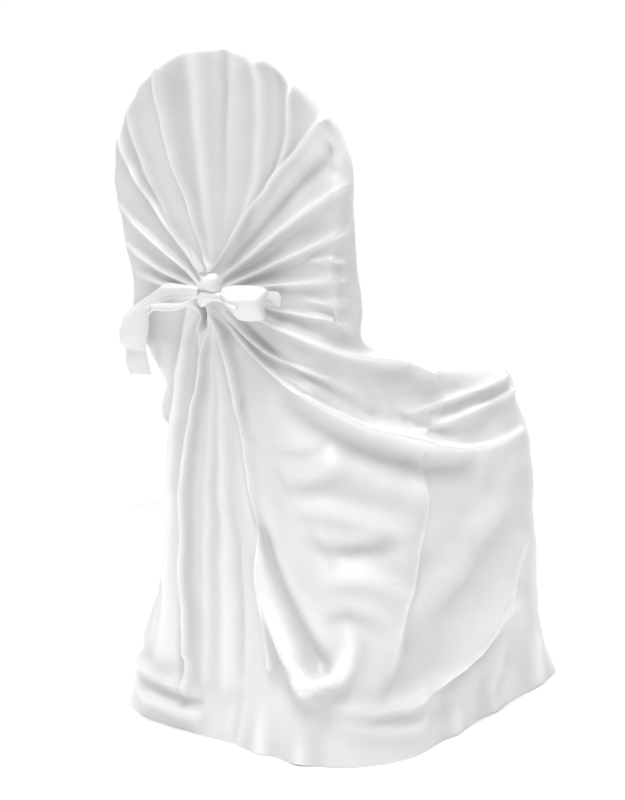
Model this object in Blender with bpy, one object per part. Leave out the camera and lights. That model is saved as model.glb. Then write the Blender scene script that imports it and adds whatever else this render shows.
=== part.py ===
"""Chair cover of plain satin, tied behind the backrest.

One big sack of cloth drops over a round-topped banquet chair and hangs to the
floor. Its spare width is gathered behind the backrest into one knot, so the
folds fan from the knot to the rim, sweep along the sides of the seat and hang
to the hem. Two tie ends leave the knot: one falls over the left edge, the other
is a short bow loop.

Metres, +Z up, the floor at Z = 0. The chair faces -Y, so the knot is at +Y, and
the sitter's right-hand side is -X.
"""

import math

import bmesh
import bpy
import numpy as np
from mathutils import Vector
from mathutils.bvhtree import BVHTree
from mathutils.geometry import barycentric_transform

# Driving dimensions
TOTAL_HEIGHT = 0.948
SEAT_HEIGHT = 0.512
SEAT_CROWN = 0.020
HOOD_HALF_WIDTH = 0.217
HOOD_BASE_HALF_WIDTH = 0.210
HOOD_THICKNESS = 0.040
HOOD_ARCH_RISE = 0.192
HOOD_REAR_Y = 0.185
HOOD_LEAN = math.radians(8.0)
HOOD_CURL = 0.034  # how far the rim rolls back behind the straight lean
CURL_FROM = 0.72  # height where the roll begins
CLOTH_THICKNESS = 0.0024
SKIN_SHARE = 0.062  # share of the fine skin's faces that the solid keeps

# Rounding of the form under the cloth
SEAT_EDGE_RADIUS = 0.035
SEAT_CREASE_RADIUS = 0.018
RIM_ROUNDING = 0.016
SHOULDER_ANGLE = math.radians(42)
REAR_STRIP = 0.13  # part of the seat's side that runs up into the hood's edge
CREASE_CENTRE = (HOOD_HALF_WIDTH, HOOD_REAR_Y - HOOD_THICKNESS + 0.012, SEAT_HEIGHT + 0.020)
CREASE_REACH = (0.040, 0.060, 0.035)
CREASE_PASSES = 150
TIE_LEVEL = 0.145  # height over the seat of the hood's lowest rear loop

# Grid of the cloth before its folds: columns run round it, rows run from hem to rim
FACE_COLUMNS = 96
EDGE_COLUMNS = 20
WALL_ROWS = 66
SEAT_ROWS = 40
HOOD_ROWS = 52
CORNER_STEPS = 24

# Outline of the skirt by height: how far it stands from the chair's centre on each side,
# and the rounding of its corners. "right" and "left" are the sitter's.
SKIRT_COLUMNS = ("height", "right", "left", "rear", "front", "rear_right", "rear_left", "front_round")
SKIRT_SECTIONS = (
    (0.000, 0.283, 0.228, 0.258, 0.405, 0.140, 0.140, 0.150),
    (0.045, 0.270, 0.224, 0.252, 0.372, 0.140, 0.140, 0.130),
    (0.120, 0.261, 0.212, 0.236, 0.347, 0.135, 0.160, 0.100),
    (0.250, 0.253, 0.206, 0.221, 0.342, 0.130, 0.175, 0.100),
    (0.400, 0.246, 0.213, 0.209, 0.337, 0.120, 0.170, 0.100),
    (0.480, 0.228, 0.214, 0.200, 0.315, 0.110, 0.160, 0.090),
)

# Where the cloth is gathered, and how it draws in there: the pull to the side per metre away,
# its reach up and down, and the height and reach of the bunched cloth under the knot
GATHER = Vector((0.012, HOOD_REAR_Y + 0.016, 0.62))
CINCH = 0.085
CINCH_REACH = 0.105
CINCH_FROM, CINCH_OVER = -0.045, 0.03  # where the pull begins, measured back from the gather
GATHER_RISE = 0.015
GATHER_REACH = 0.038

# Tie: a knot and strips, all clear of the cover behind them
STRIP_THICKNESS = 0.0026
TIE_CLEARANCE = 0.0022
KNOT = GATHER + Vector((-0.020, 0.026, 0.001))
KNOT_WIDTH, KNOT_DEPTH, KNOT_HEIGHT = 0.044, 0.040, 0.044
KNOT_SINK = 0.006  # how far the knot's back is flattened against the cover
KNOT_RINGS, KNOT_SIDES = 16, 24
STRIP_COLUMN_COUNT, STRIP_STEPS = 15, 4  # points across a strip, and rows for each row of its table
# The cover counts as behind the tie where it lies no farther forward than this
BEHIND_DEPTH = 0.03
NO_COVER_BEHIND = -1.0
OUTSIDE_Y = 0.6

# Each strip lies between two edges: "top" is the upper or outer one, "low" the other, y how far
# back it lies, "belly" how far its middle stands out, "pleat" the height of the folds along it
STRIP_COLUMNS = ("top_x", "top_z", "low_x", "low_z", "y", "belly", "pleat")
LEFT_TAIL = (
    (0.015, 0.625, 0.017, 0.611, 0.247, 0.002, 0.002),
    (0.027, 0.628, 0.027, 0.608, 0.245, 0.004, 0.004),
    (0.042, 0.630, 0.042, 0.606, 0.240, 0.006, 0.006),
    (0.064, 0.633, 0.062, 0.603, 0.235, 0.006, 0.008),
    (0.091, 0.635, 0.088, 0.599, 0.230, 0.006, 0.009),
    (0.115, 0.628, 0.109, 0.599, 0.224, 0.006, 0.009),
    (0.137, 0.620, 0.122, 0.599, 0.220, 0.007, 0.008),
    (0.159, 0.612, 0.132, 0.596, 0.217, 0.009, 0.007),
    (0.180, 0.601, 0.139, 0.591, 0.216, 0.012, 0.006),
    (0.197, 0.585, 0.142, 0.581, 0.214, 0.015, 0.005),
    (0.206, 0.567, 0.147, 0.566, 0.212, 0.015, 0.005),
    (0.208, 0.553, 0.155, 0.553, 0.209, 0.011, 0.005),
    (0.205, 0.544, 0.161, 0.542, 0.206, 0.006, 0.004),
    (0.205, 0.537, 0.161, 0.535, 0.204, 0.005, 0.005),
    (0.205, 0.521, 0.157, 0.520, 0.204, 0.007, 0.006),
    (0.199, 0.503, 0.153, 0.503, 0.202, 0.006, 0.006),
)
RIGHT_LOOP = (
    (-0.037, 0.623, -0.040, 0.605, 0.247, 0.004, 0.001),
    (-0.048, 0.624, -0.050, 0.590, 0.248, 0.010, 0.003),
    (-0.063, 0.624, -0.063, 0.579, 0.248, 0.016, 0.003),
    (-0.081, 0.623, -0.080, 0.576, 0.248, 0.018, 0.002),
    (-0.097, 0.621, -0.097, 0.576, 0.247, 0.017, 0.002),
    (-0.108, 0.618, -0.104, 0.578, 0.245, 0.013, 0.001),
    (-0.110, 0.614, -0.104, 0.584, 0.241, 0.007, 0.001),
    (-0.103, 0.611, -0.097, 0.588, 0.235, 0.004, 0.000),
    (-0.077, 0.609, -0.076, 0.590, 0.230, 0.002, 0.000),
    (-0.050, 0.612, -0.050, 0.595, 0.229, 0.001, 0.000),
    (-0.031, 0.612, -0.031, 0.601, 0.231, 0.001, 0.000),
)
RIGHT_END = (
    (-0.030, 0.612, -0.030, 0.602, 0.219, 0.001, 0.000),
    (-0.057, 0.616, -0.057, 0.603, 0.220, 0.001, 0.000),
    (-0.083, 0.617, -0.083, 0.605, 0.221, 0.001, 0.000),
    (-0.097, 0.616, -0.097, 0.602, 0.221, 0.002, 0.000),
    (-0.108, 0.615, -0.107, 0.597, 0.220, 0.002, 0.000),
    (-0.113, 0.609, -0.111, 0.595, 0.217, 0.001, 0.000),
)
# Folds along a strip: place between its edges, half width and share of the pleats' height
PLEAT_COLUMNS = ("place", "width", "share")
TAIL_PLEATS = ((0.16, 0.16, 1.0), (0.90, 0.10, 0.9))
LOOP_PLEATS = ((0.42, 0.12, 1.0),)

# From the chair's centre on the floor to the middle of everything built
ORIGIN_SHIFT = Vector((0.026, 0.062, 0.0))

# Satin: the tie is the same cloth, a little brighter where it is bunched
COVER_COLOUR = (0.86, 0.86, 0.84, 1.0)
TIE_COLOUR = (0.88, 0.88, 0.86, 1.0)
SATIN_ROUGHNESS = 0.38

# Folds. Each runs through three places, given in mm round the cover from the rear centre
# (positive to the sitter's right) and up from the floor. The rise and width are in mm;
# "blunt" is the softness of the crest, "steep" leans it to its right-hand side, and "twin" is
# the share of the rise that a mirrored fold has on the other side.
FOLD_STEPS = 40  # stretches in a fold's line
FOLD_REACH = 3.2  # how many of its widths away from its line a fold still shows
PLEATS_FROM = 845  # pleats that end above this height, in mm, run on over the rim
OVER_RIM = 0.036  # how far they run on
# Two folds in one line, the first giving way to the second over a short length
JOINED_END, JOINED_START, JOIN_OVER = "main swag behind", "main swag along the side", 0.06
FOLD_COLUMNS = (
    "round_1", "height_1", "round_2", "height_2", "round_3", "height_3",
    "rise_1", "rise_2", "rise_3", "width_1", "width_2", "blunt", "steep", "twin",
)
FAN_FOLDS = (
    ("left of centre", -22, 645, -65, 790, -70, 925, 4, 9, 11, 4, 13, 1.35, -0.35, 0),
    ("long left", -35, 638, -110, 735, -180, 850, 4, 10, 8, 4, 10, 1.35, 0.1, 0),
    ("beside the long left", -85, 705, -125, 795, -150, 885, 1, 6, 7, 4, 10, 1.4, 0, 0),
    ("centre", -18, 650, -18, 790, 10, 935, 3, 7, 8, 8, 20, 1.7, 0, 0),
    ("trough right of centre", 0, 685, 20, 805, 55, 920, -1, -7, -9, 4, 11, 1.3, 0, 0),
    ("right of centre", -2, 650, 75, 765, 115, 900, 4, 7, 10, 8, 12, 1.5, 0.2, 0),
    ("trough before the shoulder", 50, 710, 110, 785, 145, 880, -1, -5, -8, 4, 9, 1.3, 0, 0),
    ("behind the crest", 60, 715, 120, 780, 165, 860, 1, 5, 8, 4, 9, 1.3, 0, 0),
    ("crest to the right shoulder", -12, 650, 85, 745, 205, 828, 5, 11, 4, 4, 6, 1.3, 0, 0),
    ("trough under the crest", 15, 655, 105, 728, 205, 790, -3, -8, -8, 4, 14, 1.5, 0, 0),
    ("broad one to the right", 5, 635, 115, 695, 235, 750, 4, 13, 3, 4, 14, 1.35, 0.45, 0),
    ("high dimple", 200, 805, 205, 795, 210, 790, -2, -5, -2, 9, 9, 2, 0, 0),
    ("low dimple", 195, 775, 205, 770, 215, 765, -2, -5, -2, 8, 8, 2, 0, 0),
    ("upper twist", -66, 688, -52, 665, -38, 650, 1, 4, 5, 3, 4, 1.3, 0, 0),
    ("lower twist", -32, 672, -22, 657, -11, 644, 1, 4, 4, 3, 4, 1.3, 0, 0),
    ("first right ray", 15, 626, 120, 657, 245, 695, 4, 9, 4, 4, 9, 1.35, 0.4, 0),
    ("second right ray", 165, 656, 195, 655, 250, 655, 1, 5, 2, 4, 6, 1.4, 0, 0),
    ("third right ray", 25, 622, 135, 625, 252, 631, 3, 8, 3, 4, 8, 1.35, 0.3, 0),
    ("fourth right ray", 150, 606, 200, 600, 255, 600, 1, 6, 3, 5, 7, 1.4, 0, 0),
    ("fifth right ray", 40, 612, 140, 586, 262, 574, 3, 7, 2, 4, 5, 1.4, 0.1, 0),
    ("first left ray", -42, 632, -130, 697, -205, 760, 4, 9, 4, 4, 9, 1.35, 0.2, 0),
    ("second left ray", -42, 627, -130, 657, -200, 700, 4, 8, 4, 4, 7, 1.4, 0, 0),
    ("third left ray", -40, 622, -120, 634, -190, 655, 4, 8, 4, 4, 7, 1.4, 0, 0),
)
SWAG_FOLDS = (
    ("hollow under the knot", -44, 610, -46, 596, -42, 578, -14, -32, -12, 12, 13, 2, 0, 0),
    ("upper swag", 15, 612, 190, 540, 370, 502, 7, 14, 6, 5, 12, 1.5, 0, 0),
    ("upper swag on the left", -160, 560, -225, 530, -330, 503, 1, 9, 4, 8, 13, 1.4, 0.2, 0),
    ("middle swag", 5, 590, 85, 535, 175, 500, 4, 9, 3, 4, 6, 1.5, 0, 0),
    ("main swag behind", -5, 592, 100, 502, 230, 432, 6, 11, 11, 4, 7, 1.5, -0.2, 0),
    ("main swag on the left", -120, 500, -175, 465, -235, 436, 0, 9, 16, 10, 14, 1.4, 0.3, 0),
    ("main swag along the side", 230, 432, 440, 394, 635, 413, 11, 12, 8, 7, 8, 1.5, -0.2, 0.8),
    ("trough over the main swag", 20, 590, 118, 518, 235, 455, -2, -6, -6, 5, 9, 1.6, 0, 0),
    ("trough over the side swag", 235, 455, 400, 422, 520, 425, -6, -5, -1, 9, 8, 1.6, 0, 0.8),
    ("recess under the swag", 110, 462, 285, 388, 470, 370, -4, -14, -7, 14, 22, 1.8, 0, 0.5),
    ("low ridge by the seat", 315, 423, 470, 446, 620, 475, 1, 9, 7, 7, 10, 1.3, 0.3, 0.8),
    ("high ridge by the seat", 295, 450, 440, 470, 590, 497, 1, 8, 7, 7, 10, 1.3, 0.3, 0.6),
    ("pucker", 225, 486, 235, 475, 247, 460, -3, -7, -4, 5, 5, 1.6, 0, 0),
)
SKIRT_FOLDS = (
    ("side crease", 335, 373, 303, 243, 275, 115, 10, 20, 9, 34, 34, 1.7, -0.7, 0.8),
    ("seam", 50, 415, 130, 335, 195, 240, -2, -4, -3, 5, 5, 1.6, 0, 0),
    ("upper ridge by the seam", 130, 330, 205, 322, 285, 300, 3, 12, 4, 14, 16, 1.7, 0.2, 0),
    ("upper trough by the seam", 150, 285, 215, 272, 262, 282, -3, -11, -4, 11, 14, 1.7, 0, 0),
    ("lower ridge by the seam", 178, 232, 235, 236, 285, 214, 3, 11, 4, 13, 12, 1.6, 0.2, 0),
    ("lower trough by the seam", 190, 182, 225, 186, 258, 168, -4, -9, -3, 10, 12, 1.6, 0, 0),
    ("trough above the seam", 85, 402, 140, 398, 180, 415, -1, -7, -2, 8, 10, 1.6, 0, 0),
    ("short ridge by the seam", 110, 372, 150, 366, 190, 380, 2, 8, 2, 9, 10, 1.6, 0, 0),
    ("crisp under the knot", -24, 592, -64, 340, -30, 55, 7, 16, 12, 4, 8, 1.4, 0, 0),
    ("valley left of the knot", -52, 568, -82, 345, -50, 80, -6, -13, -8, 4, 9, 1.3, 0, 0),
    ("left lip of the hollow", -64, 612, -56, 594, -54, 566, 6, 10, 3, 3, 4, 1.4, 0, 0),
    ("short ridge under the hollow", -56, 580, -54, 562, -53, 538, 1, 5, 1, 4, 4, 1.5, 0, 0),
    ("broad to the left", -66, 607, -116, 360, -90, 100, 9, 12, 6, 8, 28, 1.9, 0, 0),
    ("first under the knot", -22, 580, -26, 335, -2, 75, 3, 4, 3, 8, 10, 1.8, 0, 0),
    ("second under the knot", -18, 575, 6, 335, 38, 80, 3, 6, 5, 8, 15, 1.8, 0, 0),
    ("crisp to the right", -15, 602, 54, 360, 117, 110, 12, 14, 12, 4, 8, 1.4, 0.2, 0),
    ("right front drape", 690, 440, 700, 240, 710, 15, 3, 5, 8, 16, 26, 1.8, 0, 0.8),
    ("right of the front", 770, 440, 772, 240, 790, 15, 2, 5, 8, 16, 26, 1.8, 0, 0),
    ("middle of the front", 880, 360, 905, 200, 890, 15, 1, 4, 7, 20, 30, 1.9, 0, 0),
    ("left of the front", -800, 430, -806, 240, -815, 15, 1, 5, 9, 18, 28, 1.9, 0, 0),
    ("left rear drape", -205, 400, -212, 230, -226, 90, 4, 8, 10, 14, 20, 1.7, 0, 0),
    ("left side drape", -400, 300, -412, 180, -430, 30, 2, 6, 8, 16, 24, 1.8, 0, 0),
    ("crease", 16, 350, 40, 215, 58, 90, -2, -11, -5, 4, 7, 1.3, 0, 0),
    ("long diagonal crease", 30, 470, 78, 280, 188, 120, -4, -16, -16, 6, 13, 1.4, 0.2, 0),
    ("dimple under the knot", 33, 534, 36, 530, 39, 526, -2, -4, -2, 4, 4, 2, 0, 0),
)
HEM_FOLDS = (
    ("left of the lobe", 84, 252, 119, 165, 170, 90, 5, 16, 20, 14, 15, 1.5, 0.3, 0),
    ("right of the lobe", 174, 94, 213, 112, 222, 160, 20, 17, 7, 14, 14, 1.5, 0.3, 0),
    ("swoosh", 290, 70, 506, 105, 650, 243, 8, 30, 8, 18, 30, 1.3, 0.6, 0.7),
    ("hollow above the swoosh", 335, 165, 480, 200, 630, 320, -4, -20, -6, 34, 44, 1.8, 0, 0.6),
    ("crease under the swoosh", 342, 70, 500, 72, 630, 120, -5, -15, -6, 9, 11, 1.5, 0, 0.7),
    ("upper roll at the hem", 198, 74, 270, 67, 345, 67, 5, 14, 6, 10, 10, 1.5, 0, 0),
    ("lower roll at the hem", 213, 54, 286, 40, 358, 36, 4, 11, 5, 9, 9, 1.5, 0, 0),
    ("corner crease", 630, 105, 597, 53, 550, 17, -3, -6, -4, 6, 7, 1.6, 0, 0.7),
    ("upper bunch", -173, 70, -94, 62, -15, 53, 14, 16, 8, 10, 9, 1.5, 0, 0),
    ("lower bunch", -132, 34, -68, 27, -5, 25, 12, 16, 10, 9, 9, 1.5, 0, 0),
    ("trough in the bunch", -128, 55, -68, 45, -5, 41, -6, -10, -8, 7, 7, 1.5, 0, 0),
    ("first side flute", 430, 60, 436, 30, 440, 0, 1, 5, 8, 14, 16, 1.8, 0, 0.8),
    ("second side flute", 545, 50, 551, 25, 556, 0, 1, 4, 7, 12, 14, 1.8, 0, 0.8),
    ("first rear flute", 105, 60, 108, 30, 110, 0, 1, 6, 9, 12, 15, 1.8, 0, 0),
    ("second rear flute", 170, 50, 174, 25, 176, 0, 1, 5, 8, 12, 14, 1.8, 0, 0),
    ("left roll at the hem", -270, 50, -350, 36, -440, 40, 5, 9, 5, 11, 11, 1.6, 0, 0),
    ("crease at the hem", 62, 73, 63, 38, 60, 3, -2, -8, -6, 6, 6, 1.5, 0, 0),
)


def clear_scene():
    for obj in list(bpy.data.objects):
        bpy.data.objects.remove(obj)


def smoothstep(t):
    t = np.clip(t, 0.0, 1.0)
    return t * t * (3.0 - 2.0 * t)


def lean_at(z):
    """How far the hood stands behind the seat's rear face at height z."""
    curl = np.maximum(z - CURL_FROM, 0.0) / (TOTAL_HEIGHT - CURL_FROM)
    return np.maximum(z - SEAT_HEIGHT, 0.0) * math.tan(HOOD_LEAN) + HOOD_CURL * curl**2


# Skirt: rounded rectangles that change with height


def smooth_table(table, height):
    """Row of a table at a height, with no kink where two rows meet."""
    rows = np.array(table)
    heights = rows[:, 0]
    slopes = np.gradient(rows, heights, axis=0)
    k = int(np.clip(np.searchsorted(heights, height) - 1, 0, len(rows) - 2))
    gap = heights[k + 1] - heights[k]
    t = (np.clip(height, heights[0], heights[-1]) - heights[k]) / gap
    start, end = 2 * t**3 - 3 * t**2 + 1, 3 * t**2 - 2 * t**3
    leave, arrive = t**3 - 2 * t**2 + t, t**3 - t**2
    return start * rows[k] + end * rows[k + 1] + gap * (leave * slopes[k] + arrive * slopes[k + 1])


def skirt_loop(z):
    """Closed outline of the skirt at height z, from the rear centre round by the right side.

    Returns its points and the arc lengths of its four corners' middles.
    """
    size = dict(zip(SKIRT_COLUMNS, smooth_table(SKIRT_SECTIONS, z)))
    corners = (
        (-size["right"], size["rear"], size["rear_right"], 90),
        (-size["right"], -size["front"], size["front_round"], 180),
        (size["left"], -size["front"], size["front_round"], 270),
        (size["left"], size["rear"], size["rear_left"], 360),
    )
    points = [(0.0, size["rear"])]
    middles = []
    for x, y, radius, turn in corners:
        centre = (x - math.copysign(radius, x), y - math.copysign(radius, y))
        for step in range(CORNER_STEPS + 1):
            angle = math.radians(turn + 90 * step / CORNER_STEPS)
            points.append((centre[0] + radius * math.cos(angle), centre[1] + radius * math.sin(angle)))
            if step == CORNER_STEPS // 2:
                middles.append(len(points) - 1)
    points.append((0.0, size["rear"]))
    points = np.array(points)
    steps = np.linalg.norm(np.diff(points, axis=0), axis=1)
    along = np.concatenate([[0.0], np.cumsum(steps)])
    return points, along, [along[k] for k in middles]


def skirt_row(z):
    points, along, corners = skirt_loop(z)
    total = along[-1]
    rear = np.concatenate(
        [
            np.linspace(corners[3] - total, 0.0, FACE_COLUMNS // 2 + 1)[:-1],
            np.linspace(0.0, corners[0], FACE_COLUMNS // 2 + 1)[:-1],
        ]
    )
    right = np.linspace(corners[0], corners[0] + REAR_STRIP, EDGE_COLUMNS + 1)[:-1]
    front = np.linspace(corners[0] + REAR_STRIP, corners[3] - REAR_STRIP, FACE_COLUMNS + 1)[:-1]
    left = np.linspace(corners[3] - REAR_STRIP, corners[3], EDGE_COLUMNS + 1)[:-1]
    stops = np.concatenate([rear, right, front, left]) % total
    return np.stack([np.interp(stops, along, points[:, k]) for k in (0, 1)], axis=1)


# Hood: an arch-shaped slab with a rounded rim


def arch_centre():
    return TOTAL_HEIGHT - HOOD_ARCH_RISE


def outline_point(angle):
    """Point and outward direction on the arch, with the angle up from its widest line."""
    half, rise = HOOD_HALF_WIDTH - RIM_ROUNDING, HOOD_ARCH_RISE - RIM_ROUNDING
    x, z = half * np.cos(angle), arch_centre() + rise * np.sin(angle)
    nx, nz = np.cos(angle) / half, np.sin(angle) / rise
    size = np.hypot(nx, nz)
    return np.stack([x, z], -1), np.stack([nx / size, nz / size], -1)


def side_edge(level, base):
    """Point and outward direction on the hood's straight edge, level 0 at base and 1 at the shoulder."""
    shoulder, shoulder_out = outline_point(np.array(SHOULDER_ANGLE))
    z = base + (shoulder[1] - base) * level
    centre = arch_centre()
    half = HOOD_HALF_WIDTH - RIM_ROUNDING
    slim = HOOD_HALF_WIDTH - HOOD_BASE_HALF_WIDTH
    below = np.clip((centre - z) / (centre - SEAT_HEIGHT), 0.0, 1.0)
    lift = np.clip((z - centre) / (HOOD_ARCH_RISE - RIM_ROUNDING), 0.0, 1.0)
    x = half * np.sqrt(1.0 - lift**2) - slim * below**2
    blend = lift / np.sin(SHOULDER_ANGLE)
    out = np.stack([np.ones_like(z), np.zeros_like(z)], -1)
    out = out + (shoulder_out - out) * smoothstep(blend)[..., None]
    out /= np.linalg.norm(out, axis=-1, keepdims=True)
    return np.stack([x, z], -1), out


def face_grid(level, base):
    """Points (x, z) across the hood's face at one level: 0 at base, 1 along the arch."""
    across = np.linspace(-1.0, 1.0, FACE_COLUMNS + 1)
    edge, _ = side_edge(np.array(level), np.array(base))
    foot, _ = side_edge(np.array(0.0), np.array(base))
    span = math.pi - 2.0 * SHOULDER_ANGLE
    angle = math.pi / 2 - across * span / 2
    top, _ = outline_point(angle)
    top_corner, _ = outline_point(np.array(SHOULDER_ANGLE))
    bottom = np.stack([across * foot[0], np.full_like(across, base)], -1)
    ruled = (1 - level) * bottom + level * top
    sides = np.stack([across * edge[0], np.full_like(across, edge[1])], -1)
    corners = np.stack(
        [
            across * ((1 - level) * foot[0] + level * top_corner[0]),
            np.full_like(across, (1 - level) * base + level * top_corner[1]),
        ],
        -1,
    )
    return ruled + sides - corners


def rim_arc(point, outward, count):
    """Points over the rim's thickness from the rear face to the front face."""
    turn = np.linspace(math.pi / 2, -math.pi / 2, count)[:, None]
    spread = np.cos(turn) * RIM_ROUNDING
    flat = point[None, :] + outward[None, :] * spread
    depth = 0.5 * HOOD_THICKNESS * (np.sin(turn) - 1.0)
    return np.stack([flat[:, 0], depth[:, 0], flat[:, 1]], -1)


def hood_row(level):
    """One loop of the hood: x, y and z for each column, in the skirt's column order."""
    rear_base, front_base = SEAT_HEIGHT + TIE_LEVEL, SEAT_HEIGHT + SEAT_CREASE_RADIUS
    rear = face_grid(level, rear_base)
    front = face_grid(level, front_base)
    rear3 = np.stack([-rear[:, 0], np.zeros(len(rear)), rear[:, 1]], -1)
    front3 = np.stack([-front[::-1, 0], np.full(len(front), -HOOD_THICKNESS), front[::-1, 1]], -1)
    edges = []
    for turn in np.linspace(0.0, 1.0, EDGE_COLUMNS + 1):
        base = rear_base + (front_base - rear_base) * smoothstep(turn)
        point, out = side_edge(np.array(level), base)
        angle = math.pi / 2 - math.pi * turn
        flat = point + out * RIM_ROUNDING * math.cos(angle)
        depth = 0.5 * HOOD_THICKNESS * (math.sin(angle) - 1.0)
        edges.append((flat[0], depth, flat[1]))
    edges = np.array(edges)
    right = edges * np.array([-1.0, 1.0, 1.0])
    left = edges[::-1]
    row = np.concatenate([rear3[:-1], right[:-1], front3[:-1], left[:-1]])
    row[:, 1] += HOOD_REAR_Y + lean_at(row[:, 2])
    return row


def seat_rows(lower, upper):
    """Rows between the skirt's top loop and the hood's first loop: over the seat's edge, in, and up."""
    reach = np.linalg.norm(upper[:, :2] - lower[:, :2], axis=1)
    first = np.minimum(SEAT_EDGE_RADIUS, 0.5 * reach)
    last = np.minimum(SEAT_CREASE_RADIUS, 0.5 * reach)
    share = smoothstep(reach / 0.10)
    direction = (upper[:, :2] - lower[:, :2]) / np.maximum(reach, 1e-6)[:, None]
    rows = []
    corner, run = 0.2, 0.8
    for step in np.linspace(0.0, 1.0, SEAT_ROWS + 2)[1:-1]:
        over = np.clip(step / corner, 0.0, 1.0) * math.pi / 2
        rise = np.clip((step - run) / (1.0 - run), 0.0, 1.0) * math.pi / 2
        flat = np.clip((step - corner) / (run - corner), 0.0, 1.0)
        inward = (
            first * (1.0 - math.cos(over))
            + (reach - first - last) * flat
            + last * math.sin(rise)
        )
        top = SEAT_HEIGHT - SEAT_EDGE_RADIUS + SEAT_EDGE_RADIUS * math.sin(over)
        crown = SEAT_CROWN * math.sin(math.pi * flat)
        height = top + crown + (upper[:, 2] - SEAT_HEIGHT) * (1.0 - math.cos(rise))
        straight = lower[:, 2] + (upper[:, 2] - lower[:, 2]) * step
        z = straight + (height - straight) * share
        xy = lower[:, :2] + direction * (inward * share + reach * step * (1.0 - share))[:, None]
        rows.append(np.column_stack([xy, z]))
    return rows


def base_rows():
    """All loops from hem to shoulder, each an array of x, y, z."""
    top_of_wall = SEAT_HEIGHT - SEAT_EDGE_RADIUS
    hood = [hood_row(level) for level in np.linspace(0.0, 1.0, HOOD_ROWS + 1)]
    wall = []
    for share in np.linspace(0.0, 1.0, WALL_ROWS + 1):
        flat = skirt_row(top_of_wall * share)
        wall.append(np.column_stack([flat, np.full(len(flat), top_of_wall * share)]))
    return wall + seat_rows(wall[-1], hood[0]) + hood


def rim_rows():
    """Rows of the cap over the rim, from just in front of the rear face to just behind the front one."""
    across = np.linspace(-1.0, 1.0, FACE_COLUMNS + 1)
    span = math.pi - 2.0 * SHOULDER_ANGLE
    columns = []
    for u in across:
        point, out = outline_point(np.array(math.pi / 2 - u * span / 2))
        arc = rim_arc(point, out, EDGE_COLUMNS + 1)
        arc[:, 0] *= -1.0
        columns.append(arc)
    grid = np.array(columns)
    grid[..., 1] += HOOD_REAR_Y + lean_at(grid[..., 2])
    return grid


def unrolled(loops):
    """Distance of every loop point from the rear centre, positive towards the sitter's right."""
    steps = np.linalg.norm(loops - np.roll(loops, 1, axis=1), axis=2)
    centre = FACE_COLUMNS // 2
    turned = np.roll(steps, -centre, axis=1)
    turned[:, 0] = 0.0
    right = np.cumsum(turned, axis=1)
    around = right[:, -1:] + steps[:, centre : centre + 1]
    signed = np.where(right > around / 2, right - around, right)
    return np.roll(signed, centre, axis=1)


def base_mesh():
    """Points, quads and (round, height) places of the cloth before its folds, one skin open at the hem."""
    loops = np.array(base_rows())
    rows, columns = loops.shape[:2]
    points = list(loops.reshape(-1, 3))
    round_by = list(unrolled(loops).reshape(-1))
    faces = []
    for i in range(rows - 1):
        for j in range(columns):
            k = (j + 1) % columns
            faces.append((i * columns + j, i * columns + k, (i + 1) * columns + k, (i + 1) * columns + j))
    rim = rim_rows()
    top = (rows - 1) * columns
    index = np.zeros((FACE_COLUMNS + 1, EDGE_COLUMNS + 1), int)
    for a in range(FACE_COLUMNS + 1):
        for b in range(EDGE_COLUMNS + 1):
            if b == 0:
                index[a, b] = top + a
            elif a == FACE_COLUMNS:
                index[a, b] = top + FACE_COLUMNS + b
            elif b == EDGE_COLUMNS:
                index[a, b] = top + FACE_COLUMNS + EDGE_COLUMNS + (FACE_COLUMNS - a)
            elif a == 0:
                index[a, b] = top + columns - b
            else:
                index[a, b] = len(points)
                points.append(rim[a, b])
                round_by.append(-rim[a, b][0])
    for a in range(FACE_COLUMNS):
        for b in range(EDGE_COLUMNS):
            faces.append((index[a, b], index[a + 1, b], index[a + 1, b + 1], index[a, b + 1]))
    points = np.array(points)
    places = np.column_stack([round_by, points[:, 2]])
    return points, faces, places


def cinched(points):
    """Cloth beside the gathered place drawn in towards it."""
    away = points - np.array(GATHER)
    behind = smoothstep((away[:, 1] - CINCH_FROM) / CINCH_OVER)
    pull = CINCH * behind * np.exp(-((away[:, 2] / CINCH_REACH) ** 2))
    moved = points.copy()
    moved[:, 0] -= pull * away[:, 0]
    return moved


# Folds


def place_finder(points, places):
    """Function that turns places (round, height) on the cover into points on its smooth form.

    Places reach over the skirt, the seat's edge, and the rear and edges of the hood.
    """
    columns = 2 * (FACE_COLUMNS + EDGE_COLUMNS)
    edge_rows = WALL_ROWS + SEAT_ROWS // 5
    faces = []
    for i in range(WALL_ROWS + SEAT_ROWS + HOOD_ROWS + 1):
        for j in range(columns):
            k = i * columns + j
            on_front = FACE_COLUMNS + EDGE_COLUMNS <= j < columns - EDGE_COLUMNS
            opposite = places[k + 1 - columns * (j == columns - 1), 0] < places[k, 0]
            if (i >= edge_rows and on_front) or opposite:
                continue
            right = k + 1 - columns * (j == columns - 1)
            faces.append((k, right, right + columns))
            faces.append((k, right + columns, k + columns))
    flat = [Vector((a, b, 0.0)) for a, b in places]
    solid = [Vector(p) for p in points]
    tree = BVHTree.FromPolygons(flat, faces)

    def find(place):
        spot, _, index, _ = tree.find_nearest(Vector((place[0], place[1], 0.0)))
        a, b, c = faces[index]
        return barycentric_transform(spot, flat[a], flat[b], flat[c], solid[a], solid[b], solid[c])

    return find


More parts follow.
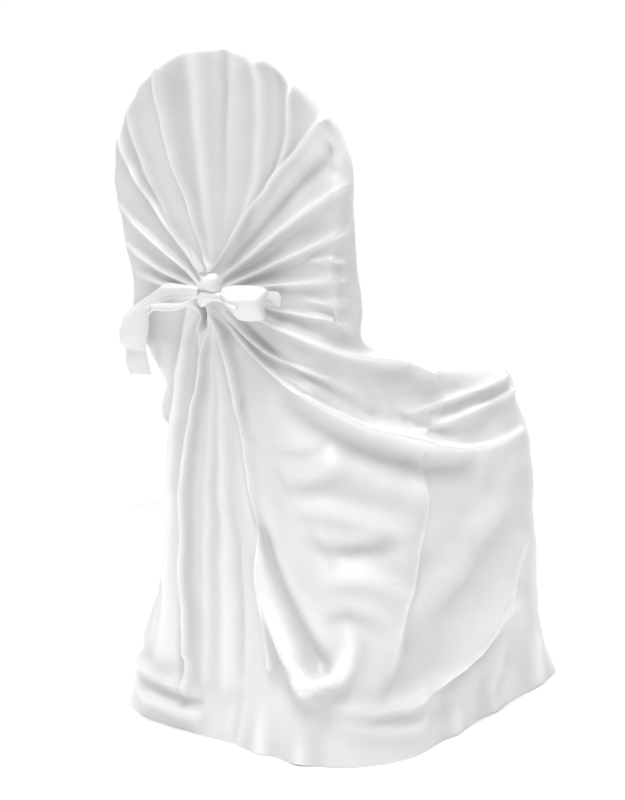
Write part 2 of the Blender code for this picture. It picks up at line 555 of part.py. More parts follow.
def fold_line(fold, find, side):
    """Points along one fold, from its three places."""
    t = np.linspace(0.0, 1.0, FOLD_STEPS + 1)
    start, middle, end = (1 - t) * (1 - 2 * t), 4 * t * (1 - t), t * (2 * t - 1)
    around = start * fold["round_1"] + middle * fold["round_2"] + end * fold["round_3"]
    height = start * fold["height_1"] + middle * fold["height_2"] + end * fold["height_3"]
    line = np.array([find(place) for place in np.column_stack([side * around, height]) / 1000.0])
    for _ in range(4):
        line[1:-1] = 0.25 * line[:-2] + 0.5 * line[1:-1] + 0.25 * line[2:]
    return line


def carried_on(line, tree):
    """The same line carried on over the form, as a pleat runs on over the rim."""
    step = np.linalg.norm(line[-1] - line[-2])
    place, ahead = Vector(line[-1]), Vector(line[-1] - line[-4]).normalized()
    more = []
    for _ in range(int(OVER_RIM / step)):
        spot = tree.find_nearest(place + ahead * step)[0]
        ahead = (spot - place).normalized()
        place = spot
        more.append(spot)
    return np.vstack([line, np.array(more)]) if more else line


def giving_way(fold, line, place):
    """Share of the rise left near an end where another fold goes on from this one."""
    share = np.ones(len(place))
    for name, end, inner in ((JOINED_START, 0, 1), (JOINED_END, -1, -2)):
        if fold["name"] == name:
            outward = (line[end] - line[inner]) / np.linalg.norm(line[end] - line[inner])
            share = 1.0 - smoothstep(0.5 + (place - line[end]) @ outward / JOIN_OVER)
    return share


def add_fold(rise, points, normals, line, fold, side, share):
    """Raises the cloth in a ridge along the line, or sinks it where the rise is negative."""
    widest = max(fold["width_1"], fold["width_2"]) / 1000.0
    low, high = line.min(axis=0) - FOLD_REACH * widest, line.max(axis=0) + FOLD_REACH * widest
    near = np.flatnonzero(((points > low) & (points < high)).all(axis=1))
    if not len(near):
        return
    place = points[near]
    starts, runs = line[:-1], np.diff(line, axis=0)
    lengths = (runs**2).sum(axis=1)
    offset = place[:, None, :] - starts[None, :, :]
    share_along = np.clip((offset * runs[None]).sum(axis=2) / lengths[None], 0.0, 1.0)
    gap = offset - share_along[..., None] * runs[None]
    distance = np.sqrt((gap**2).sum(axis=2))
    pick = distance.argmin(axis=1)
    every = np.arange(len(near))
    away, along = gap[every, pick], share_along[every, pick]
    distance = distance[every, pick]
    t = (pick + along) / FOLD_STEPS
    beyond = (len(runs) - FOLD_STEPS) / FOLD_STEPS
    share = share * giving_way(fold, line, place)
    if beyond > 0:
        share = share * (1.0 - smoothstep((t - 1.0) / beyond))
    t = np.minimum(t, 1.0)
    hand = np.sign((np.cross(runs[pick], away) * normals[near]).sum(axis=1)) * -side
    width = (fold["width_1"] + (fold["width_2"] - fold["width_1"]) * t) / 1000.0
    width = width * (1.0 - hand * fold["steep"])
    start, middle, end = (1 - t) * (1 - 2 * t), 4 * t * (1 - t), t * (2 * t - 1)
    height = (start * fold["rise_1"] + middle * fold["rise_2"] + end * fold["rise_3"]) / 1000.0
    rise[near] += share * height * np.exp(-((distance / width) ** fold["blunt"]))


def evened(values, faces, passes=2):
    """Values at the points, each pass averaged with those of their faces."""
    corners = np.array(faces)
    shares = np.bincount(corners.reshape(-1), minlength=len(values))
    for _ in range(passes):
        middle = values[corners].mean(axis=1)
        total = np.bincount(corners.reshape(-1), weights=np.repeat(middle, 4), minlength=len(values))
        values = total / shares
    return values


def folded(points, faces, normals, places):
    find = place_finder(points, places)
    form = BVHTree.FromPolygons([Vector(p) for p in points], faces)
    rise = np.zeros(len(points))
    for table in (FAN_FOLDS, SWAG_FOLDS, SKIRT_FOLDS, HEM_FOLDS):
        for row in table:
            fold = dict(zip(FOLD_COLUMNS, row[1:]), name=row[0])
            for side, share in ((1, 1.0), (-1, fold["twin"])):
                if share:
                    line = fold_line(fold, find, side)
                    line = carried_on(line, form) if fold["height_3"] > PLEATS_FROM else line
                    add_fold(rise, points, normals, line, fold, side, share)
    rise = evened(rise, faces)
    reach = np.linalg.norm(points - np.array(GATHER), axis=1)
    rise += GATHER_RISE * np.exp(-((reach / GATHER_REACH) ** 2)) * np.maximum(normals[:, 1], 0.0)
    return points + normals * rise[:, None]


def make_object(name, points, faces):
    mesh = bpy.data.meshes.new(name)
    mesh.from_pydata([tuple(p) for p in points], [], [tuple(int(i) for i in f) for f in faces])
    mesh.validate()
    obj = bpy.data.objects.new(name, mesh)
    bpy.context.scene.collection.objects.link(obj)
    return obj


def eased(points, faces, passes):
    """Cloth smoothed where the seat's side runs into the hood's edge, so that it doesn't cross itself."""
    share = np.zeros(len(points))
    for side in (-1.0, 1.0):
        reach = (points - np.array(CREASE_CENTRE) * np.array((side, 1.0, 1.0))) / np.array(CREASE_REACH)
        share += np.exp(-((reach**2).sum(axis=1) ** 2))
    share = np.clip(share, 0.0, 1.0)[:, None]
    for _ in range(passes):
        softer = np.column_stack([evened(points[:, k], faces, 1) for k in range(3)])
        points = points + share * (softer - points)
    return points


def smooth_normals(points, faces):
    """Outward direction at every point of the unfolded form."""
    obj = make_object("form", points, faces)
    work = bmesh.new()
    work.from_mesh(obj.data)
    bmesh.ops.recalc_face_normals(work, faces=work.faces)
    work.verts.ensure_lookup_table()
    if work.verts[0].normal.y < 0:
        bmesh.ops.reverse_faces(work, faces=work.faces)
    work.normal_update()
    normals = np.array([v.normal[:] for v in work.verts])
    work.free()
    bpy.data.objects.remove(obj)
    return normals


def build_cover():
    points, faces, places = base_mesh()
    points = cinched(eased(points, faces, CREASE_PASSES))
    normals = smooth_normals(points, faces)
    points = eased(folded(points, faces, normals, places), faces, CREASE_PASSES // 10)
    points[:, 2] = np.maximum(points[:, 2], 0.0)
    skin = make_object("skin", points, faces)
    tree = BVHTree.FromPolygons([Vector(p) for p in points], faces)
    thin_out(skin, SKIN_SHARE)
    cover = thickened("cover", skin, CLOTH_THICKNESS)
    bpy.data.objects.remove(skin)
    return cover, tree


def thin_out(obj, share):
    """Fewer faces: large where the cloth is plain, small on the folds."""
    modifier = obj.modifiers.new("thin out", "DECIMATE")
    modifier.ratio = share
    modifier.use_collapse_triangulate = True
    graph = bpy.context.evaluated_depsgraph_get()
    obj.data = bpy.data.meshes.new_from_object(obj.evaluated_get(graph))
    obj.modifiers.clear()


def thickened(name, skin, thickness):
    """Closed sheet with the skin as its outer side; its hem stands on the floor."""
    work = bmesh.new()
    work.from_mesh(skin.data)
    bmesh.ops.recalc_face_normals(work, faces=work.faces)
    work.verts.ensure_lookup_table()
    if max(work.verts, key=lambda v: v.co.y).normal.y < 0:
        bmesh.ops.reverse_faces(work, faces=work.faces)
    work.normal_update()
    outer = [v.co.copy() for v in work.verts]
    hem = {v.index for v in work.verts if v.is_boundary}
    inner = []
    for v in work.verts:
        inward = -v.normal
        if v.index in hem:
            outer[v.index].z = 0.0
            inward = Vector((inward.x, inward.y, 0.0)).normalized()
        inner.append(outer[v.index] + inward * thickness)
    count = len(outer)
    faces = [tuple(v.index for v in f.verts) for f in work.faces]
    closed = faces + [tuple(count + k for k in reversed(f)) for f in faces]
    for edge in work.edges:
        if edge.is_boundary:
            a, b = (loop.vert.index for loop in (edge.link_loops[0], edge.link_loops[0].link_loop_next))
            closed.append((b, a, count + a, count + b))
    work.free()
    return make_object(name, outer + inner, closed)


# Tie: three strips and a knot of the same cloth


def surface_behind(tree, x, z):
    """How far back the cover reaches at x and z, or far in front of the tie where it doesn't."""
    hit, _, _, _ = tree.ray_cast(Vector((x, OUTSIDE_Y, z)), Vector((0.0, -1.0, 0.0)))
    return NO_COVER_BEHIND if hit is None or hit.y < HOOD_REAR_Y - BEHIND_DEPTH else hit.y


def clear_of_cover(grid, tree, clearance):
    """A grid of points moved back, evenly, until all stand clear of the cover."""
    floor = np.array([[surface_behind(tree, x, z) + clearance for x, _, z in row] for row in grid])
    for _ in range(3):
        grid[..., 1] = np.maximum(grid[..., 1], floor)
        spread = grid[..., 1].copy()
        spread[1:-1] = 0.25 * spread[:-2] + 0.5 * spread[1:-1] + 0.25 * spread[2:]
        grid[..., 1] = np.maximum(spread, floor)
    return grid


def spline(table, steps):
    """Rows between those of a table, on a smooth curve through them."""
    rows = np.array(table, dtype=float)
    padded = np.vstack([2 * rows[0] - rows[1], rows, 2 * rows[-1] - rows[-2]])
    found = []
    for k in range(len(rows) - 1):
        a, b, c, d = padded[k : k + 4]
        for t in np.arange(steps) / steps:
            curve = (2 * a - 5 * b + 4 * c - d) * t**2 + (3 * b - a - 3 * c + d) * t**3
            found.append(0.5 * (2 * b + (c - a) * t + curve))
    return np.array(found + [rows[-1]])


def strip_grid(table, pleats, across_count, steps):
    """Middle surface of a strip: rows along it, columns across it."""
    rows = spline(table, steps)
    size = dict(zip(STRIP_COLUMNS, rows.T[:, :, None]))
    u = np.linspace(0.0, 1.0, across_count)[None, :]
    folds = np.zeros((1, across_count))
    for row in pleats:
        pleat = dict(zip(PLEAT_COLUMNS, row))
        folds = folds + pleat["share"] * np.exp(-(np.abs((u - pleat["place"]) / pleat["width"]) ** 1.5))
    x = size["top_x"] * (1.0 - u) + size["low_x"] * u
    z = size["top_z"] * (1.0 - u) + size["low_z"] * u
    y = size["y"] + size["belly"] * np.sin(math.pi * u) ** 0.8 + size["pleat"] * folds
    return np.stack([x, y, z], -1)


def strip_solid(name, grid, thickness):
    """Closed strip round its middle surface."""
    along = np.gradient(grid, axis=0)
    across = np.gradient(grid, axis=1)
    out = np.cross(along, across)
    out /= np.linalg.norm(out, axis=2)[..., None]
    front = (grid + 0.5 * thickness * out).reshape(-1, 3)
    back = (grid - 0.5 * thickness * out).reshape(-1, 3)
    rows, columns = grid.shape[:2]
    count = rows * columns
    faces = []
    for i in range(rows - 1):
        for j in range(columns - 1):
            a, b = i * columns + j, (i + 1) * columns + j
            faces.append((a, b, b + 1, a + 1))
            faces.append((count + a, count + a + 1, count + b + 1, count + b))
    rim = [j for j in range(columns)] + [i * columns + columns - 1 for i in range(1, rows)]
    rim += [(rows - 1) * columns + j for j in range(columns - 2, -1, -1)]
    rim += [i * columns for i in range(rows - 2, 0, -1)]
    for a, b in zip(rim, rim[1:] + rim[:1]):
        faces.append((a, b, count + b, count + a))
    obj = make_object(name, np.vstack([front, back]), faces)
    outward_faces(obj)
    return obj


def outward_faces(obj):
    work = bmesh.new()
    work.from_mesh(obj.data)
    bmesh.ops.recalc_face_normals(work, faces=work.faces)
    work.to_mesh(obj.data)
    work.free()


def knot_place(lift, turn):
    """Point on the knot: lift runs down from its top, turn goes round it, and one winding shows."""
    wind = 1.0 + 0.12 * math.cos(2.0 * turn - 3.0 * lift) + 0.05 * math.sin(3.0 * turn)
    radius = math.sin(lift) * wind
    slant = 0.004 * math.cos(lift)
    x = 0.5 * KNOT_WIDTH * radius * math.cos(turn) + slant
    y = 0.5 * KNOT_DEPTH * radius * math.sin(turn)
    z = 0.5 * KNOT_HEIGHT * math.cos(lift) * (1.0 + 0.06 * math.sin(turn) * math.sin(lift))
    return KNOT + Vector((x, y, z))


def build_knot(tree):
    """Lump of cloth wound once round itself, its back flattened by the cover behind it."""
    points, faces = [], []
    for ring in range(1, KNOT_RINGS):
        for side in range(KNOT_SIDES):
            points.append(knot_place(math.pi * ring / KNOT_RINGS, 2.0 * math.pi * side / KNOT_SIDES))
    top, bottom = len(points), len(points) + 1
    points += [knot_place(0.0, 0.0), knot_place(math.pi, 0.0)]
    for side in range(KNOT_SIDES):
        after = (side + 1) % KNOT_SIDES
        faces.append((top, after, side))
        for row in range(0, (KNOT_RINGS - 2) * KNOT_SIDES, KNOT_SIDES):
            faces.append((row + side, row + after, row + KNOT_SIDES + after, row + KNOT_SIDES + side))
        faces.append((bottom, bottom - 2 - KNOT_SIDES + side + 1, bottom - 2 - KNOT_SIDES + after + 1))
    points = np.array(points)
    floor = np.array([surface_behind(tree, x, z) + TIE_CLEARANCE for x, _, z in points])
    back = points[:, 1] < KNOT.y
    points[:, 1] += max(0.0, (floor - points[:, 1])[back].max() - KNOT_SINK)
    points[:, 1] = np.maximum(points[:, 1], floor)
    obj = make_object("knot", points, faces)
    outward_faces(obj)
    return obj


def build_strip(name, table, pleats, tree):
    grid = strip_grid(table, pleats, STRIP_COLUMN_COUNT, STRIP_STEPS)
    return strip_solid(name, clear_of_cover(grid, tree, TIE_CLEARANCE + 0.5 * STRIP_THICKNESS), STRIP_THICKNESS)


def satin(name, colour):
    material = bpy.data.materials.new(name)
    material.use_nodes = True
    material.diffuse_color = colour
    shader = material.node_tree.nodes["Principled BSDF"]
    shader.inputs["Base Color"].default_value = colour
    shader.inputs["Roughness"].default_value = SATIN_ROUGHNESS
    shader.inputs["Metallic"].default_value = 0.0
    return material


def main():
    clear_scene()
    cover, tree = build_cover()
    tie = [
        build_knot(tree),
        build_strip("left_tail", LEFT_TAIL, TAIL_PLEATS, tree),
        build_strip("right_loop", RIGHT_LOOP, LOOP_PLEATS, tree),
        build_strip("right_end", RIGHT_END, (), tree),
    ]
    centre = bpy.data.objects.new("chair centre", None)
    bpy.context.scene.collection.objects.link(centre)
    centre.location = ORIGIN_SHIFT
    for piece in [cover, *tie]:
        colour = COVER_COLOUR if piece is cover else TIE_COLOUR
        piece.data.materials.append(satin(piece.name + " satin", colour))
        piece.data.shade_smooth()
        piece.parent = centre


if __name__ == "__main__":
    main()
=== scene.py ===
import math

import bmesh
import bpy
import numpy as np
from mathutils import Matrix, Vector
from mathutils.bvhtree import BVHTree
from mathutils.geometry import barycentric_transform
from mathutils.kdtree import KDTree


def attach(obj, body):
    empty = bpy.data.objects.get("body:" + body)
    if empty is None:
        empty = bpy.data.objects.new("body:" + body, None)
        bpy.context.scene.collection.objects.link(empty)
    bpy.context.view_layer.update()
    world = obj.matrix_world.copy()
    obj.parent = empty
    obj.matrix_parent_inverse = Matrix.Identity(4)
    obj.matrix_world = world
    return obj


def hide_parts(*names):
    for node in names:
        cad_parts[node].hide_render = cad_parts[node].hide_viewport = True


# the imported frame: its pieces carry nothing here but their place, the cloth below stands for them
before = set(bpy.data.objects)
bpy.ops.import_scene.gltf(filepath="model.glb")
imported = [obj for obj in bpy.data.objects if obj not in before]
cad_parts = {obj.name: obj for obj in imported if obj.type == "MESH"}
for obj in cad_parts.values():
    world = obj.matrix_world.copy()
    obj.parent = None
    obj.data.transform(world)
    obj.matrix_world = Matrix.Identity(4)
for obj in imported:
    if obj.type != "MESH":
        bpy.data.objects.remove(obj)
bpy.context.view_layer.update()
bpy.ops.object.select_all(action="DESELECT")
print("frame loaded:", sorted(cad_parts))

# from the chair's centre on the floor to the model's own middle
originShift = np.array((0.026, 0.062, 0.0))

# the cover: sizes in metres, angles in degrees, "right" and "left" as the sitter has them
cover = {
    "totalHeight": 0.948, "seatHeight": 0.512, "seatCrown": 0.020, "seatCorner": 0.2, "seatBlend": 0.10,
    "hoodHalfWidth": 0.217, "hoodBaseHalfWidth": 0.210, "hoodThickness": 0.040, "hoodArchRise": 0.192,
    "hoodRearY": 0.185, "hoodLean": math.radians(8.0), "hoodCurl": 0.034, "hoodCurlFrom": 0.72,
    "seatEdgeRadius": 0.035, "seatCreaseRadius": 0.018, "rimRounding": 0.016,
    "shoulderAngle": math.radians(42), "rearStrip": 0.13, "tieLevel": 0.145,
    # the corner where the seat's side runs into the hood's edge is eased so the cloth doesn't cross itself
    "creaseCentre": (0.217, 0.157, 0.532), "creaseReach": (0.040, 0.060, 0.035),
    "creasePasses": 300, "foldedPasses": 100,
    # grid of the cloth: columns run round it, rows from hem to rim
    "faceColumns": 96, "edgeColumns": 20, "wallRows": 66, "seatRows": 40, "hoodRows": 52, "cornerSteps": 24,
    # the gathered place behind the back, and how the cloth draws in to it
    "gather": (0.012, 0.201, 0.62), "gatherRise": 0.015, "gatherReach": 0.038,
    "cinch": 0.085, "cinchReach": 0.105, "cinchFrom": 0.045, "cinchOver": 0.03,
    # points along a fold's line, and how many of its widths away a fold ends
    "foldSteps": 40, "foldReach": 3.2,
    # the sharp line down the crest of a fold that starts narrow: its share of the rise, most height and
    # half width in mm, the widest start in mm, and the reaches and height from which the mesh is finer
    "crest": {
        "share": 0.38, "most": 4.5, "width": 3.2, "blunt": 1.4, "widestStart": 7.5,
        "reaches": (0.013, 0.0055), "above": 0.10,
    },
    # how high up the pleats that run on over the rim end, and how far they run on
    "pleatsFrom": 845, "overRim": 0.036,
    # two folds in one line change over within this length
    "joinOver": 0.06,
    # the slight waviness of hanging cloth: heights and lengths of its waves, how many of each there
    # are and how they bend, and the share of it that the tauter front loses
    "unevenness": ((0.0013, 0.105), (0.0010, 0.062), (0.0006, 0.038)), "unevenSeed": 7,
    "waves": 5, "waveShare": 0.45, "waveBend": 9.0, "waveTurn": 1.3, "frontTaut": 0.7,
    # how far a fold stands over its own surroundings, for the painted highlight on crests and painted shade
    # in hollows that the satin's colour carries
    "paintedShadingSpread": 1.7, "paintedShadingShare": 0.7, "paintedShadingDepth": 0.0028,
    "paintedShadingWidest": 0.036, "paintedShadingFade": 0.010,
    # the hem turned up inside: how far behind the cloth, how many rows and how high a row is
    "hemGap": 0.0016, "hemRows": 4, "hemRow": 0.006,
    "flat": (2.10, 1.50), "flatArea": 1.90,
}

# the skirt's outline by height: how far it stands out on each side, and its corner radii
skirtColumns = ("height", "right", "left", "rear", "front", "rearRight", "rearLeft", "frontRound")
skirtSections = (
    (0.000, 0.283, 0.228, 0.258, 0.405, 0.140, 0.140, 0.150),
    (0.045, 0.270, 0.224, 0.252, 0.372, 0.140, 0.140, 0.130),
    (0.120, 0.261, 0.212, 0.236, 0.347, 0.135, 0.160, 0.100),
    (0.250, 0.253, 0.206, 0.221, 0.342, 0.130, 0.175, 0.100),
    (0.400, 0.246, 0.213, 0.209, 0.337, 0.120, 0.170, 0.100),
    (0.480, 0.228, 0.214, 0.200, 0.315, 0.110, 0.160, 0.090),
)

# folds: three places each, in mm round the cover from the rear centre (towards the sitter's right)
# and up from the floor, then rise and width in mm. "blunt" softens the crest, "steep" leans it,
# "twin" is the share that a mirrored fold has on the other side; both are nought where left out
foldColumns = (
    "round1", "height1", "round2", "height2", "round3", "height3",
    "rise1", "rise2", "rise3", "width1", "width2", "blunt", "steep", "twin",
)
fanFolds = (
    ("left of centre", -22, 645, -65, 790, -70, 925, 4, 9, 11, 4, 13, 1.35, -0.35, 0),
    ("long left", -35, 638, -110, 735, -180, 850, 4, 10, 8, 4, 10, 1.35, 0.1, 0),
    ("beside the long left", -85, 705, -125, 795, -150, 885, 1, 6, 7, 4, 10, 1.4),
    ("centre", -18, 650, -18, 790, 10, 935, 3, 7, 8, 8, 20, 1.7),
    ("trough right of centre", 0, 685, 20, 805, 55, 920, -1, -7, -9, 4, 11, 1.3),
    ("right of centre", -2, 650, 75, 765, 115, 900, 4, 7, 10, 8, 12, 1.5, 0.2, 0),
    ("trough before the shoulder", 50, 710, 110, 785, 145, 880, -1, -5, -8, 4, 9, 1.3),
    ("behind the crest", 60, 715, 120, 780, 165, 860, 1, 5, 8, 4, 9, 1.3),
    ("crest to the right shoulder", -12, 650, 85, 745, 205, 828, 5, 11, 4, 4, 6, 1.3),
    ("trough under the crest", 15, 655, 105, 728, 205, 790, -3, -8, -8, 4, 14, 1.5),
    ("broad one to the right", 5, 635, 115, 695, 235, 750, 4, 13, 3, 4, 14, 1.35, 0.45, 0),
    ("high dimple", 200, 805, 205, 795, 210, 790, -2, -5, -2, 9, 9, 2),
    ("low dimple", 195, 775, 205, 770, 215, 765, -2, -5, -2, 8, 8, 2),
    ("upper twist", -66, 688, -52, 665, -38, 650, 1, 4, 5, 3, 4, 1.3),
    ("lower twist", -32, 672, -22, 657, -11, 644, 1, 4, 4, 3, 4, 1.3),
    ("first right ray", 15, 626, 120, 657, 245, 695, 4, 9, 4, 4, 9, 1.35, 0.4, 0),
    ("second right ray", 165, 656, 195, 655, 250, 655, 1, 5, 2, 4, 6, 1.4),
    ("third right ray", 25, 622, 135, 625, 252, 631, 3, 8, 3, 4, 8, 1.35, 0.3, 0),
    ("fourth right ray", 150, 606, 200, 600, 255, 600, 1, 6, 3, 5, 7, 1.4),
    ("fifth right ray", 40, 612, 140, 586, 262, 574, 3, 7, 2, 4, 5, 1.4, 0.1, 0),
    ("first left ray", -42, 632, -130, 697, -205, 760, 4, 9, 4, 4, 9, 1.35, 0.2, 0),
    ("second left ray", -42, 627, -130, 657, -200, 700, 4, 8, 4, 4, 7, 1.4),
    ("third left ray", -40, 622, -120, 634, -190, 655, 4, 8, 4, 4, 7, 1.4),
)
swagFolds = (
    ("hollow under the knot", -44, 610, -46, 596, -42, 578, -14, -32, -12, 12, 13, 2),
    ("upper swag", 15, 612, 190, 540, 370, 502, 7, 14, 6, 5, 12, 1.5),
    ("upper swag on the left", -160, 560, -225, 530, -330, 503, 1, 9, 4, 8, 13, 1.4, 0.2, 0),
    ("middle swag", 5, 590, 85, 535, 175, 500, 4, 9, 3, 4, 6, 1.5),
    ("main swag behind", -5, 592, 100, 502, 230, 432, 6, 11, 11, 4, 7, 1.5, -0.2, 0),
    ("main swag on the left", -120, 500, -175, 465, -235, 436, 0, 9, 16, 10, 14, 1.4, 0.3, 0),
    ("main swag along the side", 230, 432, 440, 394, 635, 413, 11, 12, 8, 7, 8, 1.5, -0.2, 0.8),
    ("trough over the main swag", 20, 590, 118, 518, 235, 455, -2, -6, -6, 5, 9, 1.6),
    ("trough over the side swag", 235, 455, 400, 422, 520, 425, -6, -5, -1, 9, 8, 1.6, 0, 0.8),
    ("recess under the swag", 110, 462, 285, 388, 470, 370, -4, -14, -7, 14, 22, 1.8, 0, 0.5),
    ("low ridge by the seat", 315, 423, 470, 446, 620, 475, 1, 9, 7, 7, 10, 1.3, 0.3, 0.8),
    ("high ridge by the seat", 295, 450, 440, 470, 590, 497, 1, 8, 7, 7, 10, 1.3, 0.3, 0.6),
    ("pucker", 225, 486, 235, 475, 247, 460, -3, -7, -4, 5, 5, 1.6),
)
skirtFolds = (
    ("side crease", 335, 373, 303, 243, 275, 115, 10, 20, 9, 34, 34, 1.7, -0.7, 0.8),
    ("seam", 50, 415, 130, 335, 195, 240, -2, -4, -3, 5, 5, 1.6),
    ("upper ridge by the seam", 130, 330, 205, 322, 285, 300, 3, 12, 4, 14, 16, 1.7, 0.2, 0),
    ("upper trough by the seam", 150, 285, 215, 272, 262, 282, -3, -11, -4, 11, 14, 1.7),
    ("lower ridge by the seam", 178, 232, 235, 236, 285, 214, 3, 11, 4, 13, 12, 1.6, 0.2, 0),
    ("lower trough by the seam", 190, 182, 225, 186, 258, 168, -4, -9, -3, 10, 12, 1.6),
    ("trough above the seam", 85, 402, 140, 398, 180, 415, -1, -7, -2, 8, 10, 1.6),
    ("short ridge by the seam", 110, 372, 150, 366, 190, 380, 2, 8, 2, 9, 10, 1.6),
    ("crisp under the knot", -24, 592, -64, 340, -30, 55, 7, 16, 12, 4, 8, 1.4),
    ("valley left of the knot", -52, 568, -82, 345, -50, 80, -6, -13, -8, 4, 9, 1.3),
    ("left lip of the hollow", -64, 612, -56, 594, -54, 566, 6, 10, 3, 3, 4, 1.4),
    ("short ridge under the hollow", -56, 580, -54, 562, -53, 538, 1, 5, 1, 4, 4, 1.5),
    ("broad to the left", -66, 607, -116, 360, -90, 100, 9, 12, 6, 8, 28, 1.9),
    ("first under the knot", -22, 580, -26, 335, -2, 75, 3, 4, 3, 8, 10, 1.8),
    ("second under the knot", -18, 575, 6, 335, 38, 80, 3, 6, 5, 8, 15, 1.8),
    ("crisp to the right", -15, 602, 54, 360, 117, 110, 12, 14, 12, 4, 8, 1.4, 0.2, 0),
    ("right front drape", 690, 440, 700, 240, 710, 15, 3, 5, 8, 16, 26, 1.8, 0, 0.8),
    ("right of the front", 770, 440, 772, 240, 790, 15, 2, 5, 8, 16, 26, 1.8),
    ("middle of the front", 880, 360, 905, 200, 890, 15, 1, 4, 7, 20, 30, 1.9),
    ("left of the front", -800, 430, -806, 240, -815, 15, 1, 5, 9, 18, 28, 1.9),
    ("left rear drape", -205, 400, -212, 230, -226, 90, 4, 8, 10, 14, 20, 1.7),
    ("left side drape", -400, 300, -412, 180, -430, 30, 2, 6, 8, 16, 24, 1.8),
    ("crease", 16, 350, 40, 215, 58, 90, -2, -11, -5, 4, 7, 1.3),
    ("long diagonal crease", 30, 470, 78, 280, 188, 120, -4, -16, -16, 6, 13, 1.4, 0.2, 0),
    ("dimple under the knot", 33, 534, 36, 530, 39, 526, -2, -4, -2, 4, 4, 2),
)
hemFolds = (
    ("left of the lobe", 84, 252, 119, 165, 170, 90, 5, 16, 20, 14, 15, 1.5, 0.3, 0),
    ("right of the lobe", 174, 94, 213, 112, 222, 160, 20, 17, 7, 14, 14, 1.5, 0.3, 0),
    ("swoosh", 290, 70, 506, 105, 650, 243, 8, 30, 8, 18, 30, 1.3, 0.6, 0.7),
    ("hollow above the swoosh", 335, 165, 480, 200, 630, 320, -4, -20, -6, 34, 44, 1.8, 0, 0.6),
    ("crease under the swoosh", 342, 70, 500, 72, 630, 120, -5, -15, -6, 9, 11, 1.5, 0, 0.7),
    ("upper roll at the hem", 198, 74, 270, 67, 345, 67, 5, 14, 6, 10, 10, 1.5),
    ("lower roll at the hem", 213, 54, 286, 40, 358, 36, 4, 11, 5, 9, 9, 1.5),
    ("corner crease", 630, 105, 597, 53, 550, 17, -3, -6, -4, 6, 7, 1.6, 0, 0.7),
    ("upper bunch", -173, 70, -94, 62, -15, 53, 14, 16, 8, 10, 9, 1.5),
    ("lower bunch", -132, 34, -68, 27, -5, 25, 12, 16, 10, 9, 9, 1.5),
    ("trough in the bunch", -128, 55, -68, 45, -5, 41, -6, -10, -8, 7, 7, 1.5),
    ("first side flute", 430, 60, 436, 30, 440, 0, 1, 5, 8, 14, 16, 1.8, 0, 0.8),
    ("second side flute", 545, 50, 551, 25, 556, 0, 1, 4, 7, 12, 14, 1.8, 0, 0.8),
    ("first rear flute", 105, 60, 108, 30, 110, 0, 1, 6, 9, 12, 15, 1.8),
    ("second rear flute", 170, 50, 174, 25, 176, 0, 1, 5, 8, 12, 14, 1.8),
    ("left roll at the hem", -270, 50, -350, 36, -440, 40, 5, 9, 5, 11, 11, 1.6),
    ("crease at the hem", 62, 73, 63, 38, 60, 3, -2, -8, -6, 6, 6, 1.5),
)


def smoothStep(t):
    t = np.clip(t, 0.0, 1.0)
    return t * t * (3.0 - 2.0 * t)


# how far the hood stands behind the seat's rear face at height z
def leanAt(z):
    curl = np.maximum(z - cover["hoodCurlFrom"], 0.0) / (cover["totalHeight"] - cover["hoodCurlFrom"])
    lean = np.maximum(z - cover["seatHeight"], 0.0) * math.tan(cover["hoodLean"])
    return lean + cover["hoodCurl"] * curl**2


# row of a table at a height, with no kink where two rows meet
def smoothTable(table, height):
    rows = np.array(table)
    heights = rows[:, 0]
    slopes = np.gradient(rows, heights, axis=0)
    k = int(np.clip(np.searchsorted(heights, height) - 1, 0, len(rows) - 2))
    gap = heights[k + 1] - heights[k]
    t = (np.clip(height, heights[0], heights[-1]) - heights[k]) / gap
    start, end = 2 * t**3 - 3 * t**2 + 1, 3 * t**2 - 2 * t**3
    leave, arrive = t**3 - 2 * t**2 + t, t**3 - t**2
    return start * rows[k] + end * rows[k + 1] + gap * (leave * slopes[k] + arrive * slopes[k + 1])


# outline of the skirt at height z from the rear centre round by the right side,
# with the lengths along it and those of its four corners' middles
def skirtLoop(z):
    size = dict(zip(skirtColumns, smoothTable(skirtSections, z)))
    corners = (
        (-size["right"], size["rear"], size["rearRight"], 90),
        (-size["right"], -size["front"], size["frontRound"], 180),
        (size["left"], -size["front"], size["frontRound"], 270),
        (size["left"], size["rear"], size["rearLeft"], 360),
    )
    points = [(0.0, size["rear"])]
    middles = []
    for x, y, radius, turn in corners:
        centre = (x - math.copysign(radius, x), y - math.copysign(radius, y))
        for step in range(cover["cornerSteps"] + 1):
            angle = math.radians(turn + 90 * step / cover["cornerSteps"])
            points.append((centre[0] + radius * math.cos(angle), centre[1] + radius * math.sin(angle)))
            if step == cover["cornerSteps"] // 2:
                middles.append(len(points) - 1)
    points.append((0.0, size["rear"]))
    points = np.array(points)
    steps = np.linalg.norm(np.diff(points, axis=0), axis=1)
    along = np.concatenate([[0.0], np.cumsum(steps)])
    return points, along, [along[k] for k in middles]


def skirtRow(z):
    points, along, corners = skirtLoop(z)
    total = along[-1]
    half, strip = cover["faceColumns"] // 2, cover["rearStrip"]
    rearLeft = np.linspace(corners[3] - total, 0.0, half + 1)[:-1]
    rearRight = np.linspace(0.0, corners[0], half + 1)[:-1]
    right = np.linspace(corners[0], corners[0] + strip, cover["edgeColumns"] + 1)[:-1]
    front = np.linspace(corners[0] + strip, corners[3] - strip, cover["faceColumns"] + 1)[:-1]
    left = np.linspace(corners[3] - strip, corners[3], cover["edgeColumns"] + 1)[:-1]
    stops = np.concatenate([rearLeft, rearRight, right, front, left]) % total
    return np.stack([np.interp(stops, along, points[:, k]) for k in (0, 1)], axis=1)


def archCentre():
    return cover["totalHeight"] - cover["hoodArchRise"]


